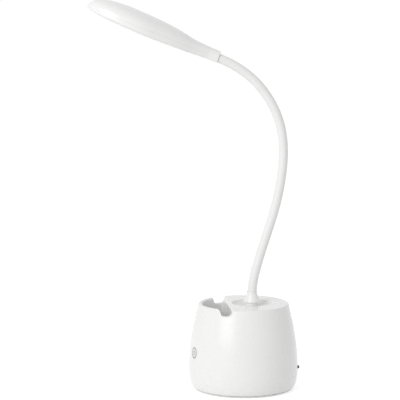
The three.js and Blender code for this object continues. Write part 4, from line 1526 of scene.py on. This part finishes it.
# The light's cover. A frosted window in the head's underside, moulded with a flange
# that lies on the frame's seat.
cover_inset = 0.0028
cover_skin = 0.0004
cover_span = (0.02, head_length - 0.002)
flange_low = -0.0041
flange_high = -0.0031
frosted = clouded(
    "frosted cover",
    {"IOR": 1.49},
    shades=((0.88, 0.88, 0.86), (0.91, 0.91, 0.895)),
    clouds=(30,),
    polish=(0.5, 0.1),
    patches=(200,),
    grain=(3500, 3, 0.00003, 0.6),
)
cover = light_plate("light_cover", cover_inset, -head_drop - past, flange_high)
skin = half_body("skin", *cover_span, cover_skin, -1, -past, 0)
shaped(cover, "INTERSECT", [skin])
shaped(cover, "UNION", [light_plate("flange", 0, flange_low, flange_high)])
completed(cover, frosted)
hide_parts("diffuser")
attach(cover, "lamp_head")

# The touch button. A light grey disc cut from the pot's own curve, with a printed ring
# and a generic power mark.
touch_skin_span = (0.03, 0.06)
# Each printed line's middle and half width; the loop is open at its top
print_ring = (0.0053, 0.0005)
print_loop = (0.0021, 0.0003)
print_gap = (0, 0.0009)
print_bar = (0, 0.0003)
print_bar_height = (0.0017, 0.0013)
touch, place, surface = finish("touch face", {"IOR": 1.5})
button = touch_rod(touch_radius, touch_back, touch_skin + past)
skin_part = [p for p in side if touch_skin_span[0] < p[1] < touch_skin_span[1]]
skin_part = [(0, skin_part[0][1])] + skin_part + [(0, skin_part[-1][1])]
shaped(button, "INTERSECT", [turned("skin", skin_part, pot_sides)])
local = place.add(
    "ShaderNodeMapping",
    {
        "Vector": place,
        "Location": (
            -touch_skin * math.sin(touch_angle),
            touch_skin * math.cos(touch_angle),
            -touch_height,
        ),
    },
    0,
    {"vector_type": "POINT"},
)
turned_place = place.add(
    "ShaderNodeMapping",
    {"Vector": local, "Rotation": (0, 0, -touch_angle)},
)
across = place.add("ShaderNodeSeparateXYZ", {0: turned_place}, "X")
upward = place.add("ShaderNodeSeparateXYZ", {0: turned_place}, "Z")


def band(value, middle, half, soft=0.00006):
    """A mask that is 1 within a band of a value and fades to 0 outside it."""
    gap = (value - middle).maths("ABSOLUTE", value - middle, 0)
    return fading(gap, half - soft, half + soft, "LINEAR")


radius = place.maths("SQRT", across * across + upward * upward, 0)
rim_mask = band(radius, *print_ring)
loop_mask = band(radius, *print_loop) * (
    1 - band(across, *print_gap) * upward.maths("GREATER_THAN", upward, 0)
)
bar_mask = band(across, *print_bar) * band(upward, *print_bar_height)
mark = rim_mask.maths(
    "MAXIMUM", rim_mask, loop_mask.maths("MAXIMUM", loop_mask, bar_mask)
)
tint(mark, (0.8, 0.8, 0.795), (0.33, 0.33, 0.325)).into(surface, "Base Color")
(0.3 + 0.1 * noise(place, 400)).into(surface, "Roughness")
completed(button, touch)
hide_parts("touch_button")
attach(button, "base")

# The studio. A pale floor and background, an even white surround and one broad soft
# lamp from the front left, seen from the lamp's right side.
floor_size = 60
floor_height = -0.0001
floor_glow = 0.48
surround = 0.61
softbox_place = Vector((1.5, -1.45, 1.15))
softbox_target = Vector((0, 0, 0.2))
softbox_size = (1.3, 1.9)
softbox_power = 20
camera_place = (1.9882, -0.2219, 0.458)
camera_azimuth = math.radians(85)
camera_pitch = math.radians(7.1)
camera_lens = 166
camera_sensor = 36


def backdrop_rays(tree):
    """1 for what the camera sees, straight or by way of gloss or glass, and else 0."""
    path = tree.nodes.new("ShaderNodeLightPath")
    seen, gloss, glass = [
        Link(tree, path.outputs[name])
        for name in ("Is Camera Ray", "Is Glossy Ray", "Is Transmission Ray")
    ]
    return seen.maths("MAXIMUM", seen, gloss.maths("MAXIMUM", gloss, glass))


def aimed(holder, direction):
    """Turns a lamp or camera to look along a direction."""
    holder.rotation_euler = direction.to_track_quat("-Z", "Y").to_euler()


bpy.ops.object.select_all(action="DESELECT")
bpy.ops.mesh.primitive_plane_add(size=floor_size, location=(0, 0, floor_height))
floor = bpy.context.object
floor.name = "floor"
paper, place, surface = finish("paper", {"Roughness": 1, "Specular IOR Level": 0})
surface.inputs["Base Color"].default_value = (0.9, 0.9, 0.9, 1)
surface.inputs["Emission Color"].default_value = (1, 1, 1, 1)
(backdrop_rays(place.tree) * floor_glow).into(surface, "Emission Strength")
floor.data.materials.append(paper)

world = bpy.data.worlds.new("studio")
world.use_nodes = True
bpy.context.scene.world = world
background = world.node_tree.nodes["Background"]
background.inputs["Color"].default_value = (1, 1, 1, 1)
direct = backdrop_rays(world.node_tree)
(surround + (1 - surround) * direct).into(background, "Strength")

bpy.ops.object.light_add(type="AREA", location=softbox_place)
softbox = bpy.context.object
softbox.data.energy = softbox_power
softbox.data.shape = "RECTANGLE"
softbox.data.size, softbox.data.size_y = softbox_size
aimed(softbox, softbox_target - softbox_place)

bpy.ops.object.camera_add(location=camera_place)
camera = bpy.context.object
aimed(
    camera,
    Vector(
        (
            -math.sin(camera_azimuth) * math.cos(camera_pitch),
            math.cos(camera_azimuth) * math.cos(camera_pitch),
            -math.sin(camera_pitch),
        )
    ),
)
camera.data.lens = camera_lens
camera.data.sensor_width = camera_sensor
bpy.context.scene.camera = camera
bpy.context.scene.view_settings.view_transform = "Standard"
